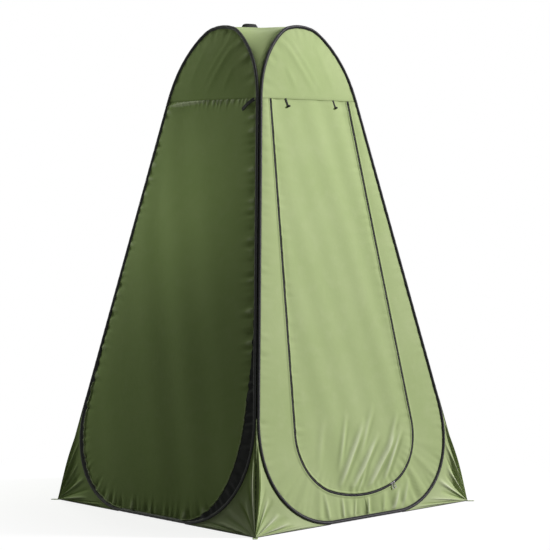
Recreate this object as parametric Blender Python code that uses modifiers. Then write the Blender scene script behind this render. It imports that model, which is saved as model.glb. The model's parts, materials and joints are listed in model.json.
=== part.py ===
"""Pop-up privacy shower tent, in metres, +Z up, with its origin on the ground at the middle.

Four spring-wire hoops stand in the planes of four leaning walls. Each hoop lies in a binding
sleeve that also grips the edge of the wall's cloth. The door is in the front wall, towards -Y,
and pleats upwards. A wall is modelled in a frame of its own: u runs across it to the right as
seen from outside, v runs up its slope from the ground, and w points outwards.
"""

import math

import bmesh
import bpy
from mathutils import Matrix, Vector

# Walls
BASE_HALF = 0.592  # from the middle of the ground to a wall, and half a wall's width there
LEAN = math.radians(11.17)  # how far a wall leans in from upright
CLOTH = 0.0012
GAP = 0.0003  # between pieces that touch
WELD = 1e-6  # merges the doubled points of a filled outline

# Hoops, measured along the sleeve's middle line
HOOP_HEIGHT = 1.948
YOKE_DEPTH = 0.296  # from the crown down to the seam where the yoke is sewn to the lower wall
GROUND_RUN = 0.18  # half of the straight run along the ground
BEND_TOP = 0.43  # where the lower bend has joined the corner edge
CROWN_RUN = 0.03  # half of the straight run at the crown
GROUND_HANDLE = 0.18  # reach of the bends' curve handles
BEND_HANDLE = 0.275
SHOULDER_HANDLE = 0.145
CROWN_HANDLE = 0.085
WIRE_R = 0.002
WIRE_BUTT = 0.001  # between the two ends of a wire, inside the ferrule
SLEEVE_R = 0.0065
SLEEVE_WALL = 0.0013
FERRULE_WALL = 0.0007
FERRULE_LENGTH = 0.05
FERRULE_AT = 0.9  # up the slope

# Soft forms
WALL_BELLY = 0.012
YOKE_BELLY = 0.006
PUCKER = 0.0025  # depth of the puckers round the door
PUCKERS = 13
GUSSET_FOLD = 0.006
GUSSET_FOLDS = 3
GUSSET_TIP = 0.03  # share of a fold's length that is drawn up into the corner

# Door and zip
DOOR_MARGIN = 0.059  # from the zip to the corner edge, at the seam
DOOR_FLARE = math.radians(4.9)
DOOR_FOOT = 0.094  # lowest point, up the slope
SWEEP_R = 0.55  # the wide curve along the bottom
SWEEP_HALF = 0.165  # where the wide curve meets the corner curve
DOOR_HEAD = 0.28  # depth of the section that stays up
TAIL_RISE = 0.02  # from the corner curve's end to the lowest pleat line
DOOR_SECTIONS = 7
PLEAT_OFFSET = 0.005  # from the cloth to a pleat's axis
PLEAT_GAP = 0.0008
CHAIN_WIDTH = 0.0054
CHAIN_PROUD = 0.001  # how far the teeth stand out of the cloth
CHAIN_SIDE_GAP = 0.0006
TAPE_WIDTH = 0.018
TAPE = 0.001
SLIDER_LENGTH = 0.013
SLIDER_WIDTH = 0.0092
SLIDER_PLATE = 0.0012
BAIL_LENGTH = 0.0084
BAIL_BAR = 0.0012
BAIL_WIDTH = 0.0016
PULL_WALL = 0.0008
PULL_WIDTH = 0.0046
PULL_LENGTH = 0.024

# Straps, ties and loops
TIE_AT = 0.131
TIE_SLANT = math.radians(16)
TIE_LENGTH = 0.034
TIE_WIDTH = 0.009
TOGGLE_R = 0.0032
TOGGLE_LENGTH = 0.013
STRAP_DROP = 0.004  # from the seam to the strap's sewn end
STRAP_CLEAR = 0.0006  # from the wall's edge plane, so that the strap clears the belly
STRAP_SLANT = math.radians(-54)
STRAP_LENGTH = 0.073
STRAP_WIDTH = 0.016
WEBBING = 0.0013
ROOF_LOOP_AT = (-0.035, 0.035)
ROOF_LOOP_LENGTH = 0.07
ROOF_LOOP_RISE = 0.018
ROOF_LOOP_WIDTH = 0.02
PEG_LOOP_LENGTH = 0.046
PEG_LOOP_WIDTH = 0.02
PEG_LOOP_EYE = 0.011
PEG_LOOP_UNDER = 0.018  # how far the loop reaches in under the cloth

# Fineness of the curves
BEND_STEPS = 8
SIDE_STEPS = 4
CROWN_STEPS = 6
WALL_COLUMNS = 8
SWEEP_STEPS = 3
CORNER_STEPS = 5
DOOR_SIDE_STEPS = BEND_STEPS + SIDE_STEPS - SWEEP_STEPS - CORNER_STEPS
RIBBON_ROWS = 4
FOLD_ROWS = 4
DOOR_COLUMNS = 6
ARCH_STEPS = 10
ROUND_STEPS = 12

# Worked out from the sizes above
SEAM = HOOP_HEIGHT - YOKE_DEPTH
DOOR_TOP_HALF = BASE_HALF - SEAM * math.sin(LEAN) - DOOR_MARGIN
DIHEDRAL = math.pi - math.acos(math.sin(LEAN) ** 2)  # between two walls, on the inside
EDGE_ANGLE = math.atan(math.sin(LEAN))  # a corner edge's slant within its wall
EDGE_INSET = (SLEEVE_R + GAP / 2) / math.sin(DIHEDRAL / 2)  # sleeve to corner edge
HEM = WEBBING + 2 * GAP  # the cloth's lower edge clears the peg loops
SKIN = CLOTH / 2 + GAP  # from a cloth's middle to what lies on it
SEAM_ROW = BEND_STEPS + SIDE_STEPS
FERRULE_R = WIRE_R + GAP + FERRULE_WALL
SLEEVE_CORNERS = (math.radians(72), math.radians(144))
SLEEVE_FACE = math.cos(math.pi - SLEEVE_CORNERS[1])  # its outer flat, as a share of its radius
SLEEVE_BACK = SLEEVE_R * SLEEVE_FACE
SLEEVE_WAIST = SLEEVE_R * math.sin(SLEEVE_CORNERS[0]) / (math.cos(SLEEVE_CORNERS[0]) + SLEEVE_FACE)
SLEEVE_ROOM = (SLEEVE_R - SLEEVE_WALL) * SLEEVE_FACE
HOOP_FOOT = HEM + SLEEVE_BACK + GAP
WIRE_OFFSET = SLEEVE_ROOM - FERRULE_R - GAP  # the wire lies on the outer side of its sleeve

# Finishes: colour, roughness and metallic value
BLACK = (0.012, 0.013, 0.011)
STEEL = (0.55, 0.56, 0.57)
SAGE_CLOTH = ((0.33, 0.42, 0.20), 0.6, 0.0)
BINDING_CLOTH = (BLACK, 0.55, 0.0)
BLACK_WEBBING = (BLACK, 0.7, 0.0)
BLACK_PLASTIC = (BLACK, 0.4, 0.0)
SPRING_STEEL = (STEEL, 0.35, 1.0)
ZIP_METAL = (STEEL, 0.3, 1.0)

WALLS = ("front", "right", "back", "left")

for leftover in list(bpy.data.objects):
    bpy.data.objects.remove(leftover)
tent = bpy.data.collections.new("privacy_shower_tent")
guides = bpy.data.collections.new("guides")
bpy.context.scene.collection.children.link(tent)
bpy.context.scene.collection.children.link(guides)
guides.hide_render = True
places = {}


def wall_frame(turn):
    """A wall's frame in the world, a quarter turn about Z for each step from the front."""
    return (
        Matrix.Rotation(turn * math.pi / 2, 4, "Z")
        @ Matrix.Translation((0, -BASE_HALF, 0))
        @ Matrix.Rotation(math.pi / 2 - LEAN, 4, "X")
    )


def pivot(name, place, parent=None):
    """An empty on a joint's axis, which carries what moves with the joint."""
    empty = bpy.data.objects.new(name, None)
    empty.empty_display_size = 0.03
    tent.objects.link(empty)
    places[name] = place
    empty.parent = parent
    empty.matrix_local = places[parent.name].inverted() @ place if parent else place
    return empty


def carry(obj, carrier, frame, finish):
    """Hangs an object, drawn in the coordinates of a frame, on its carrier and finishes it."""
    colour, roughness, metallic = finish
    tent.objects.link(obj)
    obj.parent = carrier
    obj.matrix_local = places[carrier.name].inverted() @ frame
    material = bpy.data.materials.new(obj.name)
    material.use_nodes = True
    shader = material.node_tree.nodes["Principled BSDF"]
    shader.inputs["Base Color"].default_value = (*colour, 1)
    shader.inputs["Roughness"].default_value = roughness
    shader.inputs["Metallic"].default_value = metallic
    obj.data.materials.append(material)
    return obj


def curve_object(name, loops, cyclic=True, flat=True):
    curve = bpy.data.curves.new(name, "CURVE")
    curve.dimensions = "2D" if flat else "3D"
    for loop in loops:
        spline = curve.splines.new("POLY")
        spline.points.add(len(loop) - 1)
        for point, place in zip(spline.points, loop):
            point.co = (*place, *(0,) * (3 - len(place)), 1)
        spline.use_cyclic_u = cyclic
    return bpy.data.objects.new(name, curve)


def plate(name, loops, thickness):
    """A flat outline, with any holes as further loops, as a closed mesh about its plane."""
    drawn = curve_object(name + "_outline", loops)
    drawn.data.fill_mode = "BOTH"
    drawn.data.extrude = thickness / 2
    bpy.context.scene.collection.objects.link(drawn)
    graph = bpy.context.evaluated_depsgraph_get()
    mesh = bpy.data.meshes.new_from_object(drawn.evaluated_get(graph))
    mesh.name = name
    bpy.data.objects.remove(drawn)
    shape = bmesh.new()
    shape.from_mesh(mesh)
    bmesh.ops.remove_doubles(shape, verts=shape.verts, dist=WELD)
    bmesh.ops.recalc_face_normals(shape, faces=shape.faces)
    shape.to_mesh(mesh)
    shape.free()
    return bpy.data.objects.new(name, mesh)


def cloth(name, columns, rows, surface):
    """A sheet with a point of surface(column, row) at each corner of a grid."""
    mesh = bpy.data.meshes.new(name)
    sheet = bmesh.new()
    bmesh.ops.create_grid(sheet, x_segments=columns, y_segments=rows, size=0.5)
    for corner in sheet.verts:
        column = round((corner.co.x + 0.5) * columns)
        row = round((corner.co.y + 0.5) * rows)
        corner.co = surface(column, row)
    sheet.to_mesh(mesh)
    sheet.free()
    mesh.shade_smooth()
    made = bpy.data.objects.new(name, mesh)
    solid = made.modifiers.new("thickness", "SOLIDIFY")
    solid.thickness = CLOTH
    solid.offset = 0
    solid.use_even_offset = True
    return made


def circle(radius, centre=(0, 0)):
    turns = [2 * math.pi * step / ROUND_STEPS for step in range(ROUND_STEPS)]
    return [(centre[0] + radius * math.cos(a), centre[1] + radius * math.sin(a)) for a in turns]


def box(width, low, high):
    return [(-width / 2, low), (width / 2, low), (width / 2, high), (-width / 2, high)]


def mirrored(half):
    """A half outline on the right, from bottom to top, joined to its mirror image."""
    return half + [(-u, v) for u, v in reversed(half)]


def corner_u(v):
    return BASE_HALF - v * math.sin(LEAN)


def bezier(ends, steps):
    """Points and directions along a curve, leaving out its first point."""
    p0, p1, p2, p3 = (Vector(end) for end in ends)
    for step in range(1, steps + 1):
        t = step / steps
        s = 1 - t
        point = s**3 * p0 + 3 * s * s * t * p1 + 3 * s * t * t * p2 + t**3 * p3
        slope = s * s * (p1 - p0) + 2 * s * t * (p2 - p1) + t * t * (p3 - p2)
        yield point, slope.normalized()


def hoop_half(inset):
    """The right half of a hoop from the ground to the crown, moved in by inset."""

    def side(v):
        return (corner_u(v) - EDGE_INSET / math.cos(EDGE_ANGLE), v)

    ground = (GROUND_RUN, HOOP_FOOT)
    crown = (CROWN_RUN, HOOP_HEIGHT)
    handle = (GROUND_RUN + GROUND_HANDLE, HOOP_FOOT)
    bend = bezier((ground, handle, side(BEND_TOP - BEND_HANDLE), side(BEND_TOP)), BEND_STEPS)
    edge = bezier(
        [side(BEND_TOP + (SEAM - BEND_TOP) * third / 3) for third in range(4)], SIDE_STEPS
    )
    handle = (CROWN_RUN + CROWN_HANDLE, HOOP_HEIGHT)
    shoulder = bezier((side(SEAM), side(SEAM + SHOULDER_HANDLE), handle, crown), CROWN_STEPS)
    line = [(Vector(ground), Vector((1, 0))), *bend, *edge, *shoulder]
    return [(at.x - inset * way.y, at.y + inset * way.x) for at, way in line]


def door_corner():
    """The middle and the radius of the corner curve, between the bottom sweep and the side."""
    middle = Vector((0, DOOR_FOOT + SWEEP_R))
    out = Vector((math.cos(DOOR_FLARE), math.sin(DOOR_FLARE)))
    turn = math.asin(SWEEP_HALF / SWEEP_R)
    way = Vector((math.sin(turn), -math.cos(turn)))
    reach = out.dot(Vector((DOOR_TOP_HALF, SEAM)) - middle)
    radius = (reach - SWEEP_R * out.dot(way)) / (1 - out.dot(way))
    return middle + (SWEEP_R - radius) * way, radius


def door_half(outset):
    """The right half of the zip's line from the bottom to the seam, moved out by outset."""
    middle, radius = door_corner()
    turn = math.asin(SWEEP_HALF / SWEEP_R)
    line = []
    for step in range(SWEEP_STEPS + 1):
        angle = turn * (step + 0.5) / (SWEEP_STEPS + 0.5)
        reach = SWEEP_R + outset
        line.append((reach * math.sin(angle), DOOR_FOOT + SWEEP_R - reach * math.cos(angle)))
    for step in range(1, CORNER_STEPS + 1):
        angle = turn + (math.pi / 2 + DOOR_FLARE - turn) * step / CORNER_STEPS
        reach = radius + outset
        line.append((middle.x + reach * math.sin(angle), middle.y - reach * math.cos(angle)))
    low = line[-1][1]
    for step in range(1, DOOR_SIDE_STEPS + 1):
        v = low + (SEAM - GAP - low) * step / DOOR_SIDE_STEPS
        line.append((door_side(v, outset), v))
    return line


def door_side(v, outset):
    """Half of the door's width at a height on its straight sides."""
    return DOOR_TOP_HALF + (SEAM - v) * math.tan(DOOR_FLARE) + outset / math.cos(DOOR_FLARE)


def zip_band(half_width):
    """The outline of a U-shaped band along the zip."""
    outer = mirrored(door_half(half_width))
    inner = mirrored(door_half(-half_width))
    half = len(outer) // 2
    return outer[half:] + outer[:half] + (inner[half:] + inner[:half])[::-1]


def sleeve_profile():
    """The binding's section: a round fold, open towards the wall's cloth."""

    def shell(radius):
        upper = [(math.sqrt(radius**2 - SKIN**2), SKIN)]
        upper += [(radius * math.cos(a), radius * math.sin(a)) for a in SLEEVE_CORNERS]
        return upper + [(x, -y) for x, y in reversed(upper)]

    outline = shell(SLEEVE_R - SLEEVE_WALL) + shell(SLEEVE_R)[::-1]
    profile = curve_object("sleeve_profile", [outline])
    profile.hide_render = True
    profile.display_type = "WIRE"
    guides.objects.link(profile)
    return profile


def add_hoop(wall, carrier, frame, profile):
    """The spring wire, the ferrule that closes it, and the sleeve that holds it."""
    wire_line = hoop_half(-WIRE_OFFSET)
    low = Vector(wire_line[BEND_STEPS])
    way = (Vector(wire_line[SEAM_ROW]) - low).normalized()
    middle = low + way * ((FERRULE_AT - low.y) / way.y)
    above = [p for p in wire_line if p[1] > FERRULE_AT + FERRULE_LENGTH]
    below = [p for p in wire_line if p[1] < FERRULE_AT - FERRULE_LENGTH]
    mirror = [(-u, v) for u, v in wire_line]
    start = tuple(middle + way * WIRE_BUTT / 2)
    end = tuple(middle - way * WIRE_BUTT / 2)
    path = [start, *above, *reversed(mirror), *below, end]
    wire = curve_object(wall + "_hoop", [path], cyclic=False, flat=False)
    wire.data.bevel_depth = WIRE_R
    wire.data.bevel_resolution = 1
    wire.data.use_fill_caps = True
    carry(wire, carrier, frame, SPRING_STEEL)

    ring = plate(wall + "_ferrule", [circle(FERRULE_R), circle(WIRE_R + GAP)], FERRULE_LENGTH)
    along = Vector((*way, 0)).to_track_quat("Z", "Y").to_matrix().to_4x4()
    spot = frame @ Matrix.Translation((*middle, 0)) @ along
    carry(ring, carrier, spot, SPRING_STEEL)

    sleeve = curve_object(wall + "_sleeve", [mirrored(hoop_half(0))])
    sleeve.data.fill_mode = "NONE"
    sleeve.data.bevel_mode = "OBJECT"
    sleeve.data.bevel_object = profile
    carry(sleeve, carrier, frame, BINDING_CLOTH)


def wall_point(edge, column, row, low, high, belly):
    """A point of a cloth that is held at its edges and bellies out between them."""
    u, v = edge[row]
    across = 2 * column / WALL_COLUMNS - 1
    up = (v - low) / (high - low)
    return (u * across, v, belly * (1 - across**2) * 4 * up * (1 - up))


def cloth_edge():
    """Where a wall's cloth ends, between the lips of its sleeve."""
    return hoop_half(SLEEVE_R - SLEEVE_WALL / 2)


def add_yoke(wall, carrier, frame):
    edge = cloth_edge()[SEAM_ROW:]
    edge[0] = (edge[0][0], SEAM + GAP / 2)
    low = edge[0][1]
    high = edge[-1][1]

    def surface(column, row):
        return wall_point(edge, column, row, low, high, YOKE_BELLY)

    yoke = cloth(wall + "_yoke", WALL_COLUMNS, CROWN_STEPS, surface)
    carry(yoke, carrier, frame, SAGE_CLOTH)


def add_plain_wall(wall, carrier, frame):
    edge = cloth_edge()[: SEAM_ROW + 1]
    edge[-1] = (edge[-1][0], SEAM - GAP / 2)
    low = edge[0][1]
    high = edge[-1][1]

    def surface(column, row):
        return wall_point(edge, column, row, low, high, WALL_BELLY)

    sheet = cloth(wall + "_wall", WALL_COLUMNS, SEAM_ROW, surface)
    carry(sheet, carrier, frame, SAGE_CLOTH)


def add_gussets(wall, carrier, frame):
    """The cloth between the hoop's lower bends and the ground corners, drawn into folds."""
    edge = hoop_half(-SLEEVE_BACK - GAP)[: BEND_STEPS + 1]
    tip = Vector((corner_u(HEM) - CLOTH, HEM))
    for side, sign in (("left", -1), ("right", 1)):

        def surface(column, row):
            reach = GUSSET_TIP + (1 - GUSSET_TIP) * row / FOLD_ROWS
            at = tip.lerp(Vector(edge[column]), reach)
            wave = math.sin(GUSSET_FOLDS * math.pi * column / BEND_STEPS)
            return (sign * at.x, at.y, GUSSET_FOLD * wave * math.sin(math.pi * reach) ** 2)

        gusset = cloth(f"{wall}_gusset_{side}", BEND_STEPS, FOLD_ROWS, surface)
        carry(gusset, carrier, frame, SAGE_CLOTH)


def add_front_wall(carrier, frame):
    """The U of cloth round the door, puckered between the hoop and the zip."""
    outer = cloth_edge()[: SEAM_ROW + 1]
    outer[-1] = (outer[-1][0], SEAM - GAP)
    inner = door_half(CHAIN_WIDTH / 2 + GAP)
    outer = [(-u, v) for u, v in reversed(outer)] + outer
    inner = [(-u, v) for u, v in reversed(inner)] + inner
    columns = len(outer) - 1

    def surface(column, row):
        share = row / RIBBON_ROWS
        u, v = Vector(outer[column]).lerp(Vector(inner[column]), share)
        wave = (1 - math.cos(2 * math.pi * PUCKERS * column / columns)) / 2
        ends = math.sin(math.pi * column / columns)
        return (u, v, PUCKER * wave * ends * math.sin(math.pi * share))

    carry(cloth("front_wall", columns, RIBBON_ROWS, surface), carrier, frame, SAGE_CLOTH)


def add_zip_band(carrier, frame):
    low = -CLOTH / 2
    high = CLOTH / 2 + CHAIN_PROUD
    chain = plate("zip_chain", [zip_band(CHAIN_WIDTH / 2)], high - low)
    carry(chain, carrier, frame @ Matrix.Translation((0, 0, (low + high) / 2)), BLACK_PLASTIC)
    tape = plate("zip_tape", [zip_band(TAPE_WIDTH / 2)], TAPE)
    carry(tape, carrier, frame @ Matrix.Translation((0, 0, -SKIN - TAPE / 2)), BLACK_WEBBING)


def pleat_lines():
    """Heights of the lines between the door's sections, from the top down."""
    middle, radius = door_corner()
    tail = middle.y + radius * math.sin(DOOR_FLARE) + TAIL_RISE
    head = SEAM - DOOR_HEAD
    count = DOOR_SECTIONS - 2
    return [head + (tail - head) * line / count for line in range(count + 1)]


def add_door(carrier, frame):
    """The door's sections, each hung from the one above, and the pivot of the lowest."""
    inset = -CHAIN_WIDTH / 2 - CHAIN_SIDE_GAP
    lines = pleat_lines()
    above = carrier
    for section in range(1, DOOR_SECTIONS + 1):
        if section > 1:
            out = PLEAT_OFFSET if section % 2 == 0 else -PLEAT_OFFSET
            spot = Matrix.Translation((0, lines[section - 2], out))
            above = pivot(f"door_pleat_{section}", frame @ spot, above)
        top = lines[section - 2] - PLEAT_GAP / 2 if section > 1 else SEAM - GAP
        if section < DOOR_SECTIONS:
            heights = (lines[section - 1] + PLEAT_GAP / 2, top)
            edge = [(door_side(v, inset), v) for v in heights]
        else:
            edge = door_half(inset)[: SWEEP_STEPS + CORNER_STEPS + 1]
            edge.append((door_side(top, inset), top))

        def surface(column, row):
            u, v = edge[row]
            return (u * (2 * column / DOOR_COLUMNS - 1), v, 0)

        sheet = cloth(f"door_section_{section}", DOOR_COLUMNS, len(edge) - 1, surface)
        carry(sheet, above, frame, SAGE_CLOTH)
    return above


def join(obj, other):
    """Joins a helper body to an object with a Boolean union."""
    guides.objects.link(other)
    other.hide_render = True
    other.display_type = "WIRE"
    union = obj.modifiers.new("join_" + other.name, "BOOLEAN")
    union.operation = "UNION"
    union.object = other


def add_slider(side, carrier, frame, middle, radius, angle):
    """A zip slider that runs on an arc of the zip, with its bail and its pull."""
    swing = pivot(f"zip_slider_{side}_axis", frame @ Matrix.Translation((*middle, 0)), carrier)
    low = CLOTH / 2 + CHAIN_PROUD + GAP
    bar = low + SLIDER_PLATE + GAP + eye_radius() + PULL_WALL
    at = (middle[0] + radius * math.sin(angle), middle[1] - radius * math.cos(angle), 0)
    seat = frame @ Matrix.Translation(at) @ Matrix.Rotation(angle, 4, "Z")

    base = Matrix.Translation((0, 0, low + SLIDER_PLATE / 2))
    outline = box(SLIDER_LENGTH, -SLIDER_WIDTH / 2, SLIDER_WIDTH / 2)
    body = plate("zip_slider_" + side, [outline], SLIDER_PLATE)
    carry(body, swing, seat @ base, ZIP_METAL)

    rise = bar - low - SLIDER_PLATE / 2
    outer = box(BAIL_LENGTH, 0, rise + BAIL_BAR / 2)
    inner = box(BAIL_LENGTH - 2 * BAIL_BAR, SLIDER_PLATE / 4, rise - BAIL_BAR / 2)
    bail = plate(f"zip_bail_{side}", [outer, inner], BAIL_WIDTH)
    bail.parent = body
    bail.matrix_local = Matrix.Rotation(math.pi / 2, 4, "X")
    join(body, bail)

    hang = pivot(f"zip_pull_{side}_axis", seat @ Matrix.Translation((0, 0, bar)), swing)
    ring = [(-PULL_LENGTH, PULL_WALL / 2), (-PULL_LENGTH, -PULL_WALL / 2)]
    reach = eye_radius() + PULL_WALL
    lip = math.asin(PULL_WALL / 2 / reach)
    for step in range(ROUND_STEPS + 1):
        turn = math.pi + lip + 2 * (math.pi - lip) * step / ROUND_STEPS
        ring.append((reach * math.cos(turn), reach * math.sin(turn)))
    pull = plate("zip_pull_" + side, [ring, circle(eye_radius())], PULL_WIDTH)
    upright = Matrix(((0, 0, 1, 0), (1, 0, 0, 0), (0, 1, 0, 0), (0, 0, 0, 1)))
    carry(pull, hang, places[hang.name] @ upright, ZIP_METAL)


def eye_radius():
    """The hole in a pull, round the bail's square bar."""
    return math.hypot(BAIL_WIDTH, BAIL_BAR) / 2 + GAP


def add_sliders(carrier, frame):
    """Two sliders, back to back where the bottom sweep meets the right corner curve."""
    middle, radius = door_corner()
    turn = math.asin(SWEEP_HALF / SWEEP_R)
    half = (SLIDER_LENGTH + GAP) / 2
    sweep = (0, DOOR_FOOT + SWEEP_R)
    add_slider("left", carrier, frame, sweep, SWEEP_R, turn - half / SWEEP_R)
    add_slider("right", carrier, frame, tuple(middle), radius, turn + half / radius)


def strap_outline(width, length):
    """A strap that hangs from the origin, with its free corners cut round."""
    half = width / 2
    cut = half / 2
    return [(half, 0), (-half, 0), (-half, cut - length), (cut - half, -length)] + [
        (half - cut, -length),
        (half, cut - length),
    ]


def add_ties(carrier, frame):
    for side, sign in (("left", -1), ("right", 1)):
        root = Matrix.Translation((sign * TIE_AT, SEAM, SKIN + WEBBING / 2))
        swing = pivot(
            f"door_tie_{side}_axis", frame @ root @ Matrix.Rotation(TIE_SLANT, 4, "Z"), carrier
        )
        spot = places[swing.name]
        tie = plate("door_tie_" + side, [strap_outline(TIE_WIDTH, TIE_LENGTH)], WEBBING)
        carry(tie, swing, spot, BLACK_WEBBING)
        toggle = plate("tie_toggle_" + side, [circle(TOGGLE_R)], TOGGLE_LENGTH)
        seat = Matrix.Translation(
            (0, TOGGLE_R - TIE_LENGTH, WEBBING / 2 + GAP + TOGGLE_R)
        ) @ Matrix.Rotation(math.pi / 2, 4, "Y")
        carry(toggle, swing, spot @ seat, BLACK_PLASTIC)


def add_corner_strap(carrier, frame):
    v = SEAM - STRAP_DROP
    sleeve = EDGE_INSET / math.cos(EDGE_ANGLE) + SLEEVE_R + GAP
    u = corner_u(v) - sleeve - STRAP_WIDTH / 2 * math.cos(STRAP_SLANT)
    root = Matrix.Translation((u, v, SKIN + STRAP_CLEAR + WEBBING / 2))
    swing = pivot(
        "corner_strap_axis", frame @ root @ Matrix.Rotation(STRAP_SLANT, 4, "Z"), carrier
    )
    strap = plate("corner_strap", [strap_outline(STRAP_WIDTH, STRAP_LENGTH)], WEBBING)
    carry(strap, swing, places[swing.name], BLACK_WEBBING)


def crown_line():
    """The hoops' top arcs from one junction to the next: (across, height)."""
    half = hoop_half(0)[SEAM_ROW:]
    arc = [(-u, v) for u, v in half] + half[::-1]
    return [(u, v * math.cos(LEAN)) for u, v in arc]


def add_roof(carrier):
    """One cloth inside the four hoop tops, level across the middle and falling to the corners."""
    arc = crown_line()
    last = len(arc) - 1
    low = arc[0][1]
    top = HOOP_HEIGHT * math.cos(LEAN)
    inset = (SLEEVE_WAIST + GAP / 2) / math.cos(LEAN)
    reach = [BASE_HALF - z * math.tan(LEAN) - inset for _, z in arc]
    share = [u / arc[-1][0] for u, _ in arc]
    fall = [(top - z) / (top - low) for _, z in arc]

    def surface(column, row):
        drop = (top - low) * fall[column] * fall[row]
        return (reach[row] * share[column], reach[column] * share[row], top - drop)

    carry(cloth("roof", last, last, surface), carrier, Matrix.Identity(4), SAGE_CLOTH)

    arch = []
    for radius, way in ((ROOF_LOOP_LENGTH / 2, 1), (ROOF_LOOP_LENGTH / 2 - WEBBING, -1)):
        rise = ROOF_LOOP_RISE if way > 0 else ROOF_LOOP_RISE - WEBBING
        turns = [math.pi * step / ARCH_STEPS for step in range(ARCH_STEPS + 1)][::way]
        arch += [(radius * math.cos(a), rise * math.sin(a)) for a in turns]
    loop = plate("roof_loop", [arch], ROOF_LOOP_WIDTH)
    spot = Matrix.Translation((*ROOF_LOOP_AT, top + SKIN)) @ Matrix.Rotation(math.pi / 2, 4, "X")
    carry(loop, carrier, spot, BLACK_WEBBING)


def add_peg_loop(name, carrier, corner):
    """A webbing loop on the ground, from under the corner's cloth outwards."""
    half = PEG_LOOP_WIDTH / 2
    end = PEG_LOOP_LENGTH - PEG_LOOP_UNDER
    tab = [(-PEG_LOOP_UNDER, -half), (end - half, -half)]
    for step in range(1, ROUND_STEPS // 2):
        turn = -math.pi / 2 + 2 * math.pi * step / ROUND_STEPS
        tab.append((end - half + half * math.cos(turn), half * math.sin(turn)))
    tab += [(end - half, half), (-PEG_LOOP_UNDER, half)]
    loop = plate(name, [tab, circle(PEG_LOOP_EYE / 2, (end - half, 0))], WEBBING)
    turn = math.atan2(corner[1], corner[0])
    at = (corner[0] * BASE_HALF, corner[1] * BASE_HALF, WEBBING / 2)
    spot = Matrix.Translation(at) @ Matrix.Rotation(turn, 4, "Z")
    carry(loop, carrier, spot, BLACK_WEBBING)


def fold_place(corner, inset):
    """A fold axis, parallel to two walls and moved in from both by inset."""
    base = BASE_HALF - inset / math.cos(LEAN)
    foot = Vector((corner[0] * base, corner[1] * base, 0))
    apex = Vector((0, 0, base / math.tan(LEAN)))
    way = (apex - foot).to_track_quat("Z", "Y").to_matrix().to_4x4()
    return Matrix.Translation(foot) @ way


def main():
    inner_face = SLEEVE_R + GAP  # walls that close together turn about their sleeves' inner faces
    front = pivot("front_frame", wall_frame(0))
    right = pivot("right_fold_axis", fold_place((1, -1), inner_face), front)
    left = pivot("left_fold_axis", fold_place((-1, -1), 0), front)
    back = pivot("back_fold_axis", fold_place((1, 1), 0), right)
    carriers = dict(zip(WALLS, (front, right, back, left)))
    profile = sleeve_profile()
    for turn, wall in enumerate(WALLS):
        frame = wall_frame(turn)
        carrier = carriers[wall]
        add_hoop(wall, carrier, frame, profile)
        add_yoke(wall, carrier, frame)
        add_gussets(wall, carrier, frame)
        if wall != "front":
            add_plain_wall(wall, carrier, frame)
    frame = wall_frame(0)
    add_front_wall(front, frame)
    add_zip_band(front, frame)
    add_sliders(add_door(front, frame), frame)
    add_ties(front, frame)
    add_corner_strap(left, wall_frame(WALLS.index("left")))
    add_roof(front)
    add_peg_loop("peg_loop_front_left", front, (-1, -1))
    add_peg_loop("peg_loop_front_right", front, (1, -1))
    add_peg_loop("peg_loop_back_right", right, (1, 1))
    add_peg_loop("peg_loop_back_left", left, (-1, 1))


main()
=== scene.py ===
"""Looks of the pop-up privacy shower tent: cloths, bindings, zip, straps, light and camera.

A wall is drawn in a frame of its own: u runs across it to the right as seen from outside, v runs
up its slope from the ground, and w points outwards. All lengths are in metres.
"""

import json
import math

import bmesh
import bpy
import numpy as np
from mathutils import Matrix, Vector
from mathutils.kdtree import KDTree


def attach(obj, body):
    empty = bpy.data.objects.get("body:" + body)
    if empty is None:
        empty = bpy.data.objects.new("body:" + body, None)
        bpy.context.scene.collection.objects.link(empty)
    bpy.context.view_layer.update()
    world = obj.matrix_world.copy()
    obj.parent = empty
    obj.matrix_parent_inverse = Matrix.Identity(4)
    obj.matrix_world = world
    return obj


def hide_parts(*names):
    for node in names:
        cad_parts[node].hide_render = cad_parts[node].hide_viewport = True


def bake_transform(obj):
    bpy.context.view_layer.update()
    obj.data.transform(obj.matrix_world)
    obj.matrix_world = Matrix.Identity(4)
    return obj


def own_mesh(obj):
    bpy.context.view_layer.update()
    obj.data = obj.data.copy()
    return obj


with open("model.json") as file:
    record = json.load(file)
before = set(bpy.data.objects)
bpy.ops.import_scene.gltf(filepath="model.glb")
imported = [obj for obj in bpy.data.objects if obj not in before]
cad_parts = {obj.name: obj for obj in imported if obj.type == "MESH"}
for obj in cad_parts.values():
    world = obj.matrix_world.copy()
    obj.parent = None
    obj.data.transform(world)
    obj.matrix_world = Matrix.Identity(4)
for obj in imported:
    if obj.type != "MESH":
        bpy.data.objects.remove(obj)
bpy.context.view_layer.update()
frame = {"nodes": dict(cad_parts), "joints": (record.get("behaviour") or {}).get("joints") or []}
JOINTS = {joint["name"]: joint for joint in frame["joints"]}
WALLS = ("front", "right", "back", "left")
SIDES = {"left": -1, "right": 1}

# The way out to each ground corner, and the wall that its trim moves with
CORNERS = {
    "front_left": (-1, -1, "front"),
    "front_right": (1, -1, "front"),
    "back_right": (1, 1, "right"),
    "back_left": (-1, 1, "left"),
}

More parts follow.
